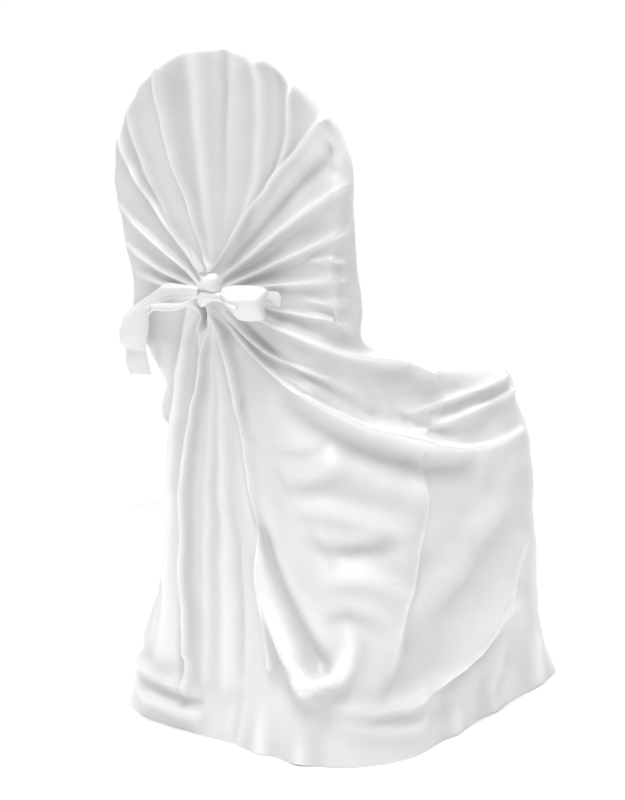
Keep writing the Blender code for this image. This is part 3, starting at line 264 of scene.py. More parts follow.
# point and outward direction on the hood's arch, by the angle up from its widest line
def outlinePoint(angle):
    half = cover["hoodHalfWidth"] - cover["rimRounding"]
    rise = cover["hoodArchRise"] - cover["rimRounding"]
    x, z = half * np.cos(angle), archCentre() + rise * np.sin(angle)
    nx, nz = np.cos(angle) / half, np.sin(angle) / rise
    size = np.hypot(nx, nz)
    return np.stack([x, z], -1), np.stack([nx / size, nz / size], -1)


# the same on the hood's straight edge: level 0 at its base, 1 at the shoulder
def sideEdge(level, base):
    shoulder, shoulderOut = outlinePoint(np.array(cover["shoulderAngle"]))
    z = base + (shoulder[1] - base) * level
    centre = archCentre()
    half = cover["hoodHalfWidth"] - cover["rimRounding"]
    slim = cover["hoodHalfWidth"] - cover["hoodBaseHalfWidth"]
    below = np.clip((centre - z) / (centre - cover["seatHeight"]), 0.0, 1.0)
    lift = np.clip((z - centre) / (cover["hoodArchRise"] - cover["rimRounding"]), 0.0, 1.0)
    x = half * np.sqrt(1.0 - lift**2) - slim * below**2
    blend = lift / np.sin(cover["shoulderAngle"])
    out = np.stack([np.ones_like(z), np.zeros_like(z)], -1)
    out = out + (shoulderOut - out) * smoothStep(blend)[..., None]
    out /= np.linalg.norm(out, axis=-1, keepdims=True)
    return np.stack([x, z], -1), out


# points (x, z) across the hood's face at one level: 0 at its base, 1 along the arch
def faceGrid(level, base):
    across = np.linspace(-1.0, 1.0, cover["faceColumns"] + 1)
    edge, _ = sideEdge(np.array(level), np.array(base))
    foot, _ = sideEdge(np.array(0.0), np.array(base))
    span = math.pi - 2.0 * cover["shoulderAngle"]
    top, _ = outlinePoint(math.pi / 2 - across * span / 2)
    topCorner, _ = outlinePoint(np.array(cover["shoulderAngle"]))
    bottom = np.stack([across * foot[0], np.full_like(across, base)], -1)
    ruled = (1 - level) * bottom + level * top
    sides = np.stack([across * edge[0], np.full_like(across, edge[1])], -1)
    cornerX = across * ((1 - level) * foot[0] + level * topCorner[0])
    cornerZ = np.full_like(across, (1 - level) * base + level * topCorner[1])
    return ruled + sides - np.stack([cornerX, cornerZ], -1)


# one loop of the hood, in the skirt's column order
def hoodRow(level):
    rearBase = cover["seatHeight"] + cover["tieLevel"]
    frontBase = cover["seatHeight"] + cover["seatCreaseRadius"]
    thickness = cover["hoodThickness"]
    rear, front = faceGrid(level, rearBase), faceGrid(level, frontBase)
    rearFace = np.stack([-rear[:, 0], np.zeros(len(rear)), rear[:, 1]], -1)
    frontFace = np.stack([-front[::-1, 0], np.full(len(front), -thickness), front[::-1, 1]], -1)
    edges = []
    for turn in np.linspace(0.0, 1.0, cover["edgeColumns"] + 1):
        base = rearBase + (frontBase - rearBase) * smoothStep(turn)
        point, out = sideEdge(np.array(level), base)
        angle = math.pi / 2 - math.pi * turn
        flat = point + out * cover["rimRounding"] * math.cos(angle)
        edges.append((flat[0], 0.5 * thickness * (math.sin(angle) - 1.0), flat[1]))
    edges = np.array(edges)
    right = edges * np.array([-1.0, 1.0, 1.0])
    row = np.concatenate([rearFace[:-1], right[:-1], frontFace[:-1], edges[::-1][:-1]])
    row[:, 1] += cover["hoodRearY"] + leanAt(row[:, 2])
    return row


# rows from the skirt's top loop to the hood's first: over the seat's edge, in, and up
def seatRows(lower, upper):
    reach = np.linalg.norm(upper[:, :2] - lower[:, :2], axis=1)
    edgeRadius, seatHeight = cover["seatEdgeRadius"], cover["seatHeight"]
    first = np.minimum(edgeRadius, 0.5 * reach)
    last = np.minimum(cover["seatCreaseRadius"], 0.5 * reach)
    share = smoothStep(reach / cover["seatBlend"])
    direction = (upper[:, :2] - lower[:, :2]) / np.maximum(reach, 1e-6)[:, None]
    rows = []
    for step in np.linspace(0.0, 1.0, cover["seatRows"] + 2)[1:-1]:
        corner, run = cover["seatCorner"], 1.0 - cover["seatCorner"]
        over = np.clip(step / corner, 0.0, 1.0) * math.pi / 2
        rise = np.clip((step - run) / (1.0 - run), 0.0, 1.0) * math.pi / 2
        flat = np.clip((step - corner) / (run - corner), 0.0, 1.0)
        inward = first * (1.0 - math.cos(over)) + (reach - first - last) * flat + last * math.sin(rise)
        top = seatHeight + edgeRadius * (math.sin(over) - 1.0) + cover["seatCrown"] * math.sin(math.pi * flat)
        height = top + (upper[:, 2] - seatHeight) * (1.0 - math.cos(rise))
        straight = lower[:, 2] + (upper[:, 2] - lower[:, 2]) * step
        z = straight + (height - straight) * share
        xy = lower[:, :2] + direction * (inward * share + reach * step * (1.0 - share))[:, None]
        rows.append(np.column_stack([xy, z]))
    return rows


# all loops from hem to shoulder
def baseRows():
    topOfWall = cover["seatHeight"] - cover["seatEdgeRadius"]
    hood = [hoodRow(level) for level in np.linspace(0.0, 1.0, cover["hoodRows"] + 1)]
    wall = []
    for share in np.linspace(0.0, 1.0, cover["wallRows"] + 1):
        flat = skirtRow(topOfWall * share)
        wall.append(np.column_stack([flat, np.full(len(flat), topOfWall * share)]))
    return wall + seatRows(wall[-1], hood[0]) + hood


# the cap over the rim, column by column from the rear face to the front one
def rimRows():
    across = np.linspace(-1.0, 1.0, cover["faceColumns"] + 1)
    span = math.pi - 2.0 * cover["shoulderAngle"]
    turn = np.linspace(math.pi / 2, -math.pi / 2, cover["edgeColumns"] + 1)
    columns = []
    for u in across:
        point, out = outlinePoint(np.array(math.pi / 2 - u * span / 2))
        flat = point[None, :] + out[None, :] * (np.cos(turn) * cover["rimRounding"])[:, None]
        depth = 0.5 * cover["hoodThickness"] * (np.sin(turn) - 1.0)
        columns.append(np.stack([-flat[:, 0], depth, flat[:, 1]], -1))
    rim = np.array(columns)
    rim[..., 1] += cover["hoodRearY"] + leanAt(rim[..., 2])
    return rim


# distance of each loop point round the cover from the rear centre, positive to the right
def unrolled(loops):
    steps = np.linalg.norm(loops - np.roll(loops, 1, axis=1), axis=2)
    centre = cover["faceColumns"] // 2
    turned = np.roll(steps, -centre, axis=1)
    turned[:, 0] = 0.0
    right = np.cumsum(turned, axis=1)
    around = right[:, -1:] + steps[:, centre : centre + 1]
    return np.roll(np.where(right > around / 2, right - around, right), centre, axis=1)


# points, quads and places (round, up) of the cloth before its folds, open at the hem
def baseCloth():
    loops = np.array(baseRows())
    rows, columns = loops.shape[:2]
    points = list(loops.reshape(-1, 3))
    roundBy = list(unrolled(loops).reshape(-1))
    quads = []
    for i in range(rows - 1):
        for j in range(columns):
            k = (j + 1) % columns
            quads.append((i * columns + j, i * columns + k, (i + 1) * columns + k, (i + 1) * columns + j))
    rim = rimRows()
    top = (rows - 1) * columns
    lastA, lastB = cover["faceColumns"], cover["edgeColumns"]
    index = np.zeros((lastA + 1, lastB + 1), int)
    for a in range(lastA + 1):
        for b in range(lastB + 1):
            if b == 0:
                index[a, b] = top + a
            elif a == lastA:
                index[a, b] = top + lastA + b
            elif b == lastB:
                index[a, b] = top + lastA + lastB + (lastA - a)
            elif a == 0:
                index[a, b] = top + columns - b
            else:
                index[a, b] = len(points)
                points.append(rim[a, b])
                roundBy.append(-rim[a, b][0])
    for a in range(lastA):
        for b in range(lastB):
            quads.append((index[a, b], index[a + 1, b], index[a + 1, b + 1], index[a, b + 1]))
    points = np.array(points)
    return points, np.array(quads), np.column_stack([roundBy, points[:, 2]])


# values at the points, each pass averaged with those next to them
def evened(values, edges, passes):
    a, b = edges[:, 0], edges[:, 1]
    count = len(values)
    near = np.bincount(a, minlength=count) + np.bincount(b, minlength=count)
    flat = values.reshape(count, -1).copy()
    for _ in range(passes):
        for k in range(flat.shape[1]):
            column = flat[:, k]
            total = np.bincount(a, column[b], count) + np.bincount(b, column[a], count)
            flat[:, k] = 0.5 * column + 0.5 * total / near
    return flat.reshape(values.shape)


def quadEdges(quads):
    pairs = np.concatenate([quads[:, [0, 1]], quads[:, [1, 2]], quads[:, [2, 3]], quads[:, [3, 0]]])
    return np.unique(np.sort(pairs, axis=1), axis=0)


# cloth smoothed where the seat's side runs into the hood's edge
def eased(points, edges, passes):
    share = np.zeros(len(points))
    for side in (-1.0, 1.0):
        centre = np.array(cover["creaseCentre"]) * np.array((side, 1.0, 1.0))
        reach = (points - centre) / np.array(cover["creaseReach"])
        share += np.exp(-((reach**2).sum(axis=1) ** 2))
    near = np.flatnonzero(share > 0.001)
    renumber = np.full(len(points), -1)
    renumber[near] = np.arange(len(near))
    local = renumber[edges]
    local = local[(local >= 0).all(axis=1)]
    share = np.clip(share[near], 0.0, 1.0)[:, None]
    moved = points.copy()
    patch = points[near]
    for _ in range(passes):
        patch = patch + share * (evened(patch, local, 1) - patch)
    moved[near] = patch
    return moved


# cloth beside the gathered place drawn in towards it
def cinched(points):
    away = points - np.array(cover["gather"])
    behind = smoothStep((away[:, 1] + cover["cinchFrom"]) / cover["cinchOver"])
    pull = cover["cinch"] * behind * np.exp(-((away[:, 2] / cover["cinchReach"]) ** 2))
    moved = points.copy()
    moved[:, 0] -= pull * away[:, 0]
    return moved


# turns places (round, up) into points on the smooth form, over the skirt, the seat's edge
# and the rear and edges of the hood
def placeFinder(points, places):
    columns = 2 * (cover["faceColumns"] + cover["edgeColumns"])
    edgeRows = cover["wallRows"] + int(cover["seatRows"] * cover["seatCorner"])
    faces = []
    for i in range(cover["wallRows"] + cover["seatRows"] + cover["hoodRows"] + 1):
        for j in range(columns):
            k = i * columns + j
            right = k + 1 - columns * (j == columns - 1)
            onFront = cover["faceColumns"] + cover["edgeColumns"] <= j < columns - cover["edgeColumns"]
            if (i >= edgeRows and onFront) or places[right, 0] < places[k, 0]:
                continue
            faces.append((k, right, right + columns))
            faces.append((k, right + columns, k + columns))
    flat = [Vector((a, b, 0.0)) for a, b in places]
    solid = [Vector(p) for p in points]
    tree = BVHTree.FromPolygons(flat, faces)

    def find(place):
        spot, _, index, _ = tree.find_nearest(Vector((place[0], place[1], 0.0)))
        a, b, c = faces[index]
        return barycentric_transform(spot, flat[a], flat[b], flat[c], solid[a], solid[b], solid[c])

    return find


# points along one fold, from its three places
def foldLine(fold, find, side):
    t = np.linspace(0.0, 1.0, cover["foldSteps"] + 1)
    start, middle, end = (1 - t) * (1 - 2 * t), 4 * t * (1 - t), t * (2 * t - 1)
    around = start * fold["round1"] + middle * fold["round2"] + end * fold["round3"]
    height = start * fold["height1"] + middle * fold["height2"] + end * fold["height3"]
    line = np.array([find(place) for place in np.column_stack([side * around, height]) / 1000.0])
    for _ in range(4):
        line[1:-1] = 0.25 * line[:-2] + 0.5 * line[1:-1] + 0.25 * line[2:]
    return line


# the same line carried on over the form, as a pleat runs on over the rim
def carriedOn(line, tree, length):
    step = np.linalg.norm(line[-1] - line[-2])
    place, ahead = Vector(line[-1]), Vector(line[-1] - line[-4]).normalized()
    more = []
    for _ in range(int(length / step)):
        spot = tree.find_nearest(place + ahead * step)[0]
        ahead = (spot - place).normalized()
        place = spot
        more.append(spot)
    return np.vstack([line, np.array(more)]) if more else line


# for points near a line: which, how far off, how far along (0 to 1) and on which hand
def besideLine(points, normals, line, reach):
    low, high = line.min(axis=0) - reach, line.max(axis=0) + reach
    near = np.flatnonzero(((points > low) & (points < high)).all(axis=1))
    runs = np.diff(line, axis=0)
    lengths = (runs**2).sum(axis=1)
    offset = points[near][:, None, :] - line[None, :-1, :]
    share = np.clip((offset * runs[None]).sum(axis=2) / lengths[None], 0.0, 1.0)
    gap = offset - share[..., None] * runs[None]
    distance = np.sqrt((gap**2).sum(axis=2))
    pick = distance.argmin(axis=1) if len(near) else np.zeros(0, int)
    every = np.arange(len(near))
    along = (pick + share[every, pick]) / len(runs)
    hand = np.sign((np.cross(runs[pick], gap[every, pick]) * normals[near]).sum(axis=1))
    return near, distance[every, pick], along, hand


joinedEnd, joinedStart = "main swag behind", "main swag along the side"


# raises the cloth in a ridge along the line, or sinks it where the rise is negative
def addFold(rise, paintedShading, points, normals, line, fold, side, share):
    widest = max(fold["width1"], fold["width2"]) / 1000.0
    near, distance, t, hand = besideLine(points, normals, line, cover["foldReach"] * widest)
    # a fold that another goes on from gives way to it over a short stretch
    past = np.full(len(near), -1.0)
    for name, end, inner in (joinedStart, 0, 1), (joinedEnd, -1, -2):
        if fold["name"] == name:
            ahead = line[end] - line[inner]
            past = (points[near] - line[end]) @ ahead / np.linalg.norm(ahead)
    share = share * (1.0 - smoothStep(0.5 + past / cover["joinOver"]))
    # the part that was carried on keeps the end's size and fades out
    t = t * (len(line) - 1) / cover["foldSteps"]
    beyond = (len(line) - 1) / cover["foldSteps"] - 1.0
    fade = 1.0 - smoothStep((t - 1.0) / beyond) if beyond > 0 else 1.0
    t = np.minimum(t, 1.0)
    width = (fold["width1"] + (fold["width2"] - fold["width1"]) * t) / 1000.0
    width = width * (1.0 + side * hand * fold["steep"])
    start, middle, end = (1 - t) * (1 - 2 * t), 4 * t * (1 - t), t * (2 * t - 1)
    height = (start * fold["rise1"] + middle * fold["rise2"] + end * fold["rise3"]) / 1000.0
    height = share * fade * height
    profile = np.exp(-((distance / width) ** fold["blunt"]))
    around = np.exp(-((distance / (cover["paintedShadingSpread"] * width)) ** 2))
    rise[near] += height * profile
    # painted shading: a painted highlight along a narrow ridge and painted shade beside it, the other way
    # round in a narrow trough
    narrow = np.clip((cover["paintedShadingWidest"] - width) / cover["paintedShadingFade"], 0.0, 1.0)
    paintedShading[near] += height * narrow * (profile - cover["paintedShadingShare"] * around)


# a fold and, down its crest, the narrow sharp line where satin breaks
def addCrested(rise, paintedShading, points, normals, line, fold, side, share, crest):
    addFold(rise, paintedShading, points, normals, line, fold, side, share)
    if crest and fold["rise2"] > 0:
        width = crest["width"]
        sharp = {**fold, "width1": width, "width2": width, "blunt": crest["blunt"], "steep": 0.0}
        for k in ("rise1", "rise2", "rise3"):
            sharp[k] = min(crest["share"] * fold[k], crest["most"])
        addFold(rise, paintedShading, points, normals, line, sharp, side, share)


# every fold of some tables with its line on the form: (line, fold, side, share, crest)
def foldPlan(find, tree, tables):
    plan, crest = [], cover["crest"]
    for table in tables:
        for row in table:
            fold = {"name": row[0], "steep": 0.0, "twin": 0.0, **dict(zip(foldColumns, row[1:]))}
            for side, share in ((1, 1.0), (-1, fold["twin"])):
                if share:
                    line = foldLine(fold, find, side)
                    if fold["height3"] > cover["pleatsFrom"]:
                        line = carriedOn(line, tree, cover["overRim"])
                    sharp = crest if fold["width1"] < crest["widestStart"] else None
                    plan.append((line, fold, side, share, sharp))
    return plan


def clothObject(name, points, faces, uvs=None):
    mesh = bpy.data.meshes.new(name)
    mesh.from_pydata([tuple(p) for p in points], [], [tuple(int(k) for k in f) for f in faces])
    if uvs is not None:
        mesh.uv_layers.new(name="cloth").uv.foreach_set("vector", np.asarray(uvs, np.float32).reshape(-1))
    piece = bpy.data.objects.new(name, mesh)
    bpy.context.scene.collection.objects.link(piece)
    return piece


def meshPoints(mesh):
    values = np.empty(len(mesh.vertices) * 3)
    mesh.vertices.foreach_get("co", values)
    return values.reshape(-1, 3)


def meshNormals(mesh):
    values = np.empty(len(mesh.vertices) * 3)
    mesh.vertex_normals.foreach_get("vector", values)
    return values.reshape(-1, 3)


def meshEdges(mesh):
    values = np.empty(len(mesh.edges) * 2, np.int32)
    mesh.edges.foreach_get("vertices", values)
    return values.reshape(-1, 2)


# splits the quads that a test picks by their middle, each into four
def refine(piece, wanted):
    work = bmesh.new()
    work.from_mesh(piece.data)
    edges = list({edge for face in work.faces if wanted(face.calc_center_median()) for edge in face.edges})
    bmesh.ops.subdivide_edges(work, edges=edges, cuts=1, use_grid_fill=True)
    work.to_mesh(piece.data)
    work.free()


# faces turned so that those at the rear look backwards, out of the cover
def outwards(piece):
    work = bmesh.new()
    work.from_mesh(piece.data)
    bmesh.ops.recalc_face_normals(work, faces=work.faces)
    work.normal_update()
    if max(work.verts, key=lambda v: v.co.y).normal.y < 0:
        bmesh.ops.reverse_faces(work, faces=work.faces)
    work.to_mesh(piece.data)
    work.free()


# uv in metres of cloth: round the cover and up it, with no jump where the two ends meet
def clothUvs(places, quads):
    uv = places[quads].copy()
    turn = places[:, 0].max() - places[:, 0].min()
    jump = uv[:, :, 0].max(axis=1) - uv[:, :, 0].min(axis=1) > 0.5 * turn
    low = jump[:, None] & (uv[:, :, 0] < 0.0)
    uv[:, :, 0][low] += turn
    return uv


def buildCover():
    base, quads, places = baseCloth()
    base = cinched(eased(base, quadEdges(quads), cover["creasePasses"]))
    formTree = BVHTree.FromPolygons([Vector(p) for p in base], [tuple(int(k) for k in q) for q in quads])
    plan = foldPlan(placeFinder(base, places), formTree, (
        fanFolds, swagFolds, skirtFolds, hemFolds,
    ))
    piece = clothObject("coverCloth", base, quads, clothUvs(places, quads))
    sharpLines = np.vstack([line for line, fold, _, _, crest in plan if crest and fold["rise2"] > 0])
    sharpTree = KDTree(len(sharpLines))
    for k, place in enumerate(sharpLines):
        sharpTree.insert(place, k)
    sharpTree.balance()
    for reach in cover["crest"]["reaches"]:
        refine(piece, lambda place: place.z > cover["crest"]["above"] and sharpTree.find(place)[2] < reach)
    outwards(piece)
    mesh = piece.data
    points, normals, edges = meshPoints(mesh), meshNormals(mesh), meshEdges(mesh)
    rise, paintedShading = np.zeros(len(points)), np.zeros(len(points))
    for line, fold, side, share, crest in plan:
        addCrested(rise, paintedShading, points, normals, line, fold, side, share, crest)
    taut = 1.0 - cover["frontTaut"] * np.clip(-normals[:, 1], 0.0, 1.0)
    rise = evened(rise, edges, 2) + uneven(points) * taut
    reach = np.linalg.norm(points - np.array(cover["gather"]), axis=1)
    swell = cover["gatherRise"] * np.exp(-((reach / cover["gatherReach"]) ** 2))
    rise += swell * np.maximum(normals[:, 1], 0.0)
    points = eased(points + normals * rise[:, None], edges, cover["foldedPasses"])
    points[:, 2] = np.maximum(points[:, 2], 0.0)
    mesh.vertices.foreach_set("co", points.reshape(-1))
    # painted shading kept on the points: painted highlight on crests, painted shade in hollows
    paintedShading = np.clip(evened(paintedShading, edges, 2) / cover["paintedShadingDepth"], -1.0, 1.0)
    mesh.attributes.new("paintedShading", "FLOAT", "POINT").data.foreach_set("value", paintedShading)
    mesh.update()
    turnUpHem(piece, meshNormals(mesh))
    mesh.shade_smooth()
    mesh.calc_loop_triangles()
    print("cover:", len(mesh.vertices), "points,", len(mesh.loop_triangles), "triangles")
    return piece


# a gentle waviness, of waves that run in random directions
def uneven(points):
    chance = np.random.default_rng(cover["unevenSeed"])
    total = np.zeros(len(points))
    for height, length in cover["unevenness"]:
        for _ in range(cover["waves"]):
            way = chance.normal(size=3)
            way *= 2.0 * math.pi / (length * np.linalg.norm(way))
            bend = chance.normal(size=3) * cover["waveBend"]
            turn = cover["waveTurn"] * np.sin(points @ bend) + chance.uniform(0.0, 6.3)
            total += cover["waveShare"] * height * np.sin(points @ way + turn)
    return total


# hem folded up inside: a strip of cloth behind the lowest rows of the skirt
def turnUpHem(piece, normals):
    work = bmesh.new()
    work.from_mesh(piece.data)
    work.verts.ensure_lookup_table()
    columns = 2 * (cover["faceColumns"] + cover["edgeColumns"])
    places = []
    for k in range(cover["hemRows"] * columns):
        out = Vector(normals[k])
        out = Vector((out.x, out.y, 0.0)).normalized() if k < columns else out
        places.append(work.verts[k].co - out * cover["hemGap"])
    inner = [work.verts.new(place) for place in places]
    work.verts.ensure_lookup_table()
    uvLayer = work.loops.layers.uv.active
    around = cover["flat"][0] / columns
    for row in range(cover["hemRows"]):
        for j in range(columns):
            k = (j + 1) % columns
            if row == 0:
                lower, lowerNext = work.verts[j], work.verts[k]
                # the turn at the floor stays sharp, so the cloth over it isn't shaded as if it faced down
                work.edges.get((lower, lowerNext)).smooth = False
            else:
                lower, lowerNext = inner[(row - 1) * columns + j], inner[(row - 1) * columns + k]
            face = work.faces.new((lowerNext, lower, inner[row * columns + j], inner[row * columns + k]))
            for corner, (u, v) in zip(face.loops, ((j + 1, row), (j, row), (j, row + 1), (j + 1, row + 1))):
                corner[uvLayer].uv = (u * around, cover["hemRow"] * v)
    work.to_mesh(piece.data)
    work.free()


def setInputs(tree, node, inputs):
    for name, value in inputs.items():
        if isinstance(value, bpy.types.NodeSocket):
            tree.links.new(value, node.inputs[name])
        else:
            node.inputs[name].default_value = value


def addNode(tree, kind, inputs, **settings):
    node = tree.nodes.new("ShaderNode" + kind)
    for name, value in settings.items():
        setattr(node, name, value)
    setInputs(tree, node, inputs)
    return node.outputs


# satin: white with a soft gloss, a fine weave and the small creases of hanging cloth
def satin(name, look):
    material = bpy.data.materials.new(name)
    material.use_nodes = True
    tree = material.node_tree
    coords = addNode(tree, "TexCoord", {})
    tone = addNode(tree, "TexNoise", {"Scale": 9.0, "Detail": 4.0, "Vector": coords["Object"]})
    ramp = tree.nodes.new("ShaderNodeValToRGB")
    for stop, place, colour in zip(ramp.color_ramp.elements, (0.3, 0.7), ("shade", "colour")):
        stop.position = place
        stop.color = look[colour]
    setInputs(tree, ramp, {"Fac": tone["Fac"]})
    # painted highlight along the folds' crests and painted shade in their hollows, scaling the colour
    paintedShading = addNode(tree, "Attribute", {}, attribute_name="paintedShading")
    depth = addNode(tree, "MapRange", {
        "Value": paintedShading["Fac"], "From Min": -1.0, "To Min": look["paintedShadeInHollows"], "To Max": look["paintedHighlightOnCrests"],
    })
    toneAndPaintedShading = addNode(
        tree, "VectorMath", {0: ramp.outputs["Color"], "Scale": depth["Result"]}, operation="SCALE"
    )
    # threads: long floats up the cloth, and the finer ones that cross them
    weave = addNode(tree, "Mapping", {"Vector": coords["UV"], "Scale": (1.0, 0.22, 1.0)})
    threads = addNode(tree, "TexWave", {
        "Vector": weave["Vector"], "Scale": look["threadsPerMetre"] / 20.0, "Distortion": 1.2, "Detail": 2.0,
    }, bands_direction="X")
    slubs = addNode(tree, "TexNoise", {"Vector": weave["Vector"], "Scale": 260.0, "Detail": 3.0})
    drop = addNode(tree, "Mapping", {"Vector": coords["Object"], "Scale": (1.0, 1.0, 0.55)})
    creases = addNode(tree, "TexNoise", {
        "Vector": drop["Vector"], "Scale": 22.0, "Detail": 5.0, "Roughness": 0.55, "Distortion": 0.6,
    })
    wrinkled = addNode(tree, "Bump", {
        "Height": creases["Fac"], "Strength": look["wrinkles"], "Distance": 0.004,
    })
    slubbed = addNode(tree, "Bump", {
        "Height": slubs["Fac"], "Strength": 0.15, "Distance": 0.0006, "Normal": wrinkled["Normal"],
    })
    woven = addNode(tree, "Bump", {
        "Height": threads["Fac"], "Strength": look["weave"], "Distance": 0.0002, "Normal": slubbed["Normal"],
    })
    setInputs(tree, tree.nodes["Principled BSDF"], {
        "Base Color": toneAndPaintedShading["Vector"], "Normal": woven["Normal"], "Roughness": look["roughness"],
        "Specular IOR Level": look["specular"], "Sheen Weight": look["sheen"], "Sheen Roughness": 0.45,
    })
    return material


satinLook = {
    "colour": (0.785, 0.785, 0.78, 1.0), "shade": (0.755, 0.755, 0.75, 1.0), "roughness": 0.36,
    # the colour's painted shade in hollows and painted highlight on crests
    "specular": 0.6, "sheen": 0.12, "paintedShadeInHollows": 0.78, "paintedHighlightOnCrests": 1.18,
    "wrinkles": 0.25, "weave": 0.25, "threadsPerMetre": 2200.0,
}
coverSatin = satin("coverSatin", satinLook)
tieLook = {
    **satinLook, "colour": (0.84, 0.84, 0.835, 1.0), "shade": (0.80, 0.80, 0.795, 1.0), "wrinkles": 0.35,
}
tieSatin = satin("tieSatin", tieLook)

coverCloth = buildCover()
coverMesh = coverCloth.data
coverTree = BVHTree.FromPolygons(
    [Vector(p) for p in meshPoints(coverMesh)], [tuple(f.vertices) for f in coverMesh.polygons]
)


# strips of the tie: how far in front of the hood's rear the cover still counts as lying behind them,
# the gap that they keep from it, and the rows of mesh between two rows of a table
tie = {"reachForward": 0.03, "clearance": 0.0025, "rowsBetween": 10}


# how far back the cover reaches at x and z, or far in front of the tie where it doesn't
def surfaceBehind(x, z):
    hit, _, _, _ = coverTree.ray_cast(Vector((x, 0.6, z)), Vector((0.0, -1.0, 0.0)))
    return -1.0 if hit is None or hit.y < cover["hoodRearY"] - tie["reachForward"] else hit.y


# a grid of points moved back, evenly, until all stand clear of the cover
def clearOfCover(grid):
    floor = np.array([[surfaceBehind(x, z) + tie["clearance"] for x, _, z in row] for row in grid])
    for _ in range(3):
        grid[..., 1] = np.maximum(grid[..., 1], floor)
        spread = grid[..., 1].copy()
        spread[1:-1] = 0.25 * spread[:-2] + 0.5 * spread[1:-1] + 0.25 * spread[2:]
        grid[..., 1] = np.maximum(spread, floor)
    return grid


# rows between those of a table, on a smooth curve through them
def spline(table, steps):
    rows = np.array(table, dtype=float)
    padded = np.vstack([2 * rows[0] - rows[1], rows, 2 * rows[-1] - rows[-2]])
    found = []
    for k in range(len(rows) - 1):
        a, b, c, d = padded[k : k + 4]
        for t in np.arange(steps) / steps:
            bend, twist = 2 * a - 5 * b + 4 * c - d, 3 * b - a - 3 * c + d
            found.append(0.5 * (2 * b + (c - a) * t + bend * t**2 + twist * t**3))
    return np.array(found + [rows[-1]])


# a strip of cloth between two edges: "top" is the upper or outer edge, "low" the other, y how far
# back it lies, "belly" how far its middle stands out, "pleat" the height of the folds along it, in mm
stripColumns = ("topX", "topZ", "lowX", "lowZ", "y", "belly", "pleat")

leftTail = {
    "strips": (
        # the tail, over the left edge and down
        (
            (10, 624, 12, 612, 247, 2, 2),
            (24, 628, 24, 608, 245, 4, 4),
            (42, 630, 42, 606, 240, 6, 6),
            (64, 633, 62, 603, 235, 6, 8),
            (91, 635, 88, 599, 230, 6, 9),
            (115, 628, 109, 599, 224, 6, 9),
            (137, 620, 122, 599, 220, 7, 8),
            (159, 612, 132, 596, 217, 9, 7),
            (180, 601, 139, 591, 216, 12, 6),
            (197, 585, 142, 581, 214, 15, 5),
            (206, 567, 147, 566, 212, 15, 5),
            (208, 553, 155, 553, 209, 11, 5),
            (205, 544, 161, 542, 206, 6, 4),
            (205, 537, 161, 535, 204, 5, 5),
            (205, 521, 157, 520, 204, 7, 6),
            (199, 503, 153, 503, 202, 6, 6),
        ),
        # its lower edge, folded back near the knot
        (
            (26, 608, 26, 601, 249, 1, 0),
            (41, 604, 43, 597, 249, 3, 1),
            (62, 604, 62, 594, 248, 4, 1),
            (85, 605, 86, 595, 247, 4, 1),
            (107, 604, 105, 597, 246, 1, 0),
        ),
    ),
    "pleats": ((0.16, 0.16, 1.0), (0.45, 0.06, 0.25), (0.90, 0.07, 0.9), (0.66, 0.06, 0.3)),
    "across": 61, "thickness": 0.0011, "flat": (0.26, 0.065),
}
rightEnd = {
    "strips": ((
        (-30, 612, -30, 602, 219, 1, 0),
        (-57, 616, -57, 603, 220, 1, 0),
        (-83, 617, -83, 605, 221, 1, 0),
        (-97, 616, -97, 602, 221, 2, 0),
        (-108, 615, -107, 597, 220, 2, 0),
        (-113, 609, -111, 595, 217, 1, 0),
    ),),
    "pleats": ((0.15, 0.10, 1.0), (0.75, 0.12, 0.8)),
    "across": 25, "thickness": 0.0011, "flat": (0.085, 0.018),
}
knot = {
    "strips": (
        # the wedge on top, rising to the right
        (
            (19, 624, 21, 618, 240, 2, 0),
            (5, 634, 4, 621, 246, 6, 1),
            (-10, 641, -11, 618, 250, 10, 2),
            (-21, 642, -21, 614, 250, 12, 2),
            (-28, 639, -28, 614, 248, 9, 2),
            (-31, 632, -31, 617, 243, 4, 1),
        ),
        # the winding under it
        (
            (23, 614, 17, 601, 240, 2, 0),
            (8, 619, 5, 598, 245, 5, 2),
            (-9, 619, -10, 603, 249, 8, 3),
            (-24, 617, -24, 605, 250, 7, 2),
            (-34, 616, -34, 602, 246, 5, 1),
            (-37, 613, -37, 602, 240, 2, 0),
        ),
    ),
    "pleats": ((0.30, 0.14, 1.0), (0.70, 0.14, 0.8)),
    "across": 33, "thickness": 0.0013, "flat": (0.08, 0.035),
}
rightLoop = {
    "strips": (
        # the loop, from its gathered neck out to the bend and back behind itself
        (
            (-33, 622, -38, 603, 247, 4, 1),
            (-48, 624, -50, 590, 248, 10, 3),
            (-63, 624, -63, 579, 248, 16, 3),
            (-81, 623, -80, 576, 248, 18, 2),
            (-97, 621, -97, 576, 247, 17, 2),
            (-108, 618, -104, 578, 245, 13, 1),
            (-110, 614, -104, 584, 241, 7, 1),
            (-103, 611, -97, 588, 235, 4, 0),
            (-77, 609, -76, 590, 230, 2, 0),
            (-50, 612, -50, 595, 229, 1, 0),
            (-31, 612, -31, 601, 231, 1, 0),
        ),
        # a small curl in front of its neck
        (
            (-45, 605, -39, 601, 252, 2, 0),
            (-57, 603, -50, 597, 258, 4, 1),
            (-70, 598, -63, 591, 264, 4, 1),
            (-77, 593, -70, 586, 266, 1, 0),
        ),
    ),
    "pleats": ((0.42, 0.10, 1.0), (0.16, 0.08, 0.5)),
    "across": 49, "thickness": 0.0013, "flat": (0.16, 0.045), "crease": 0.46,
}


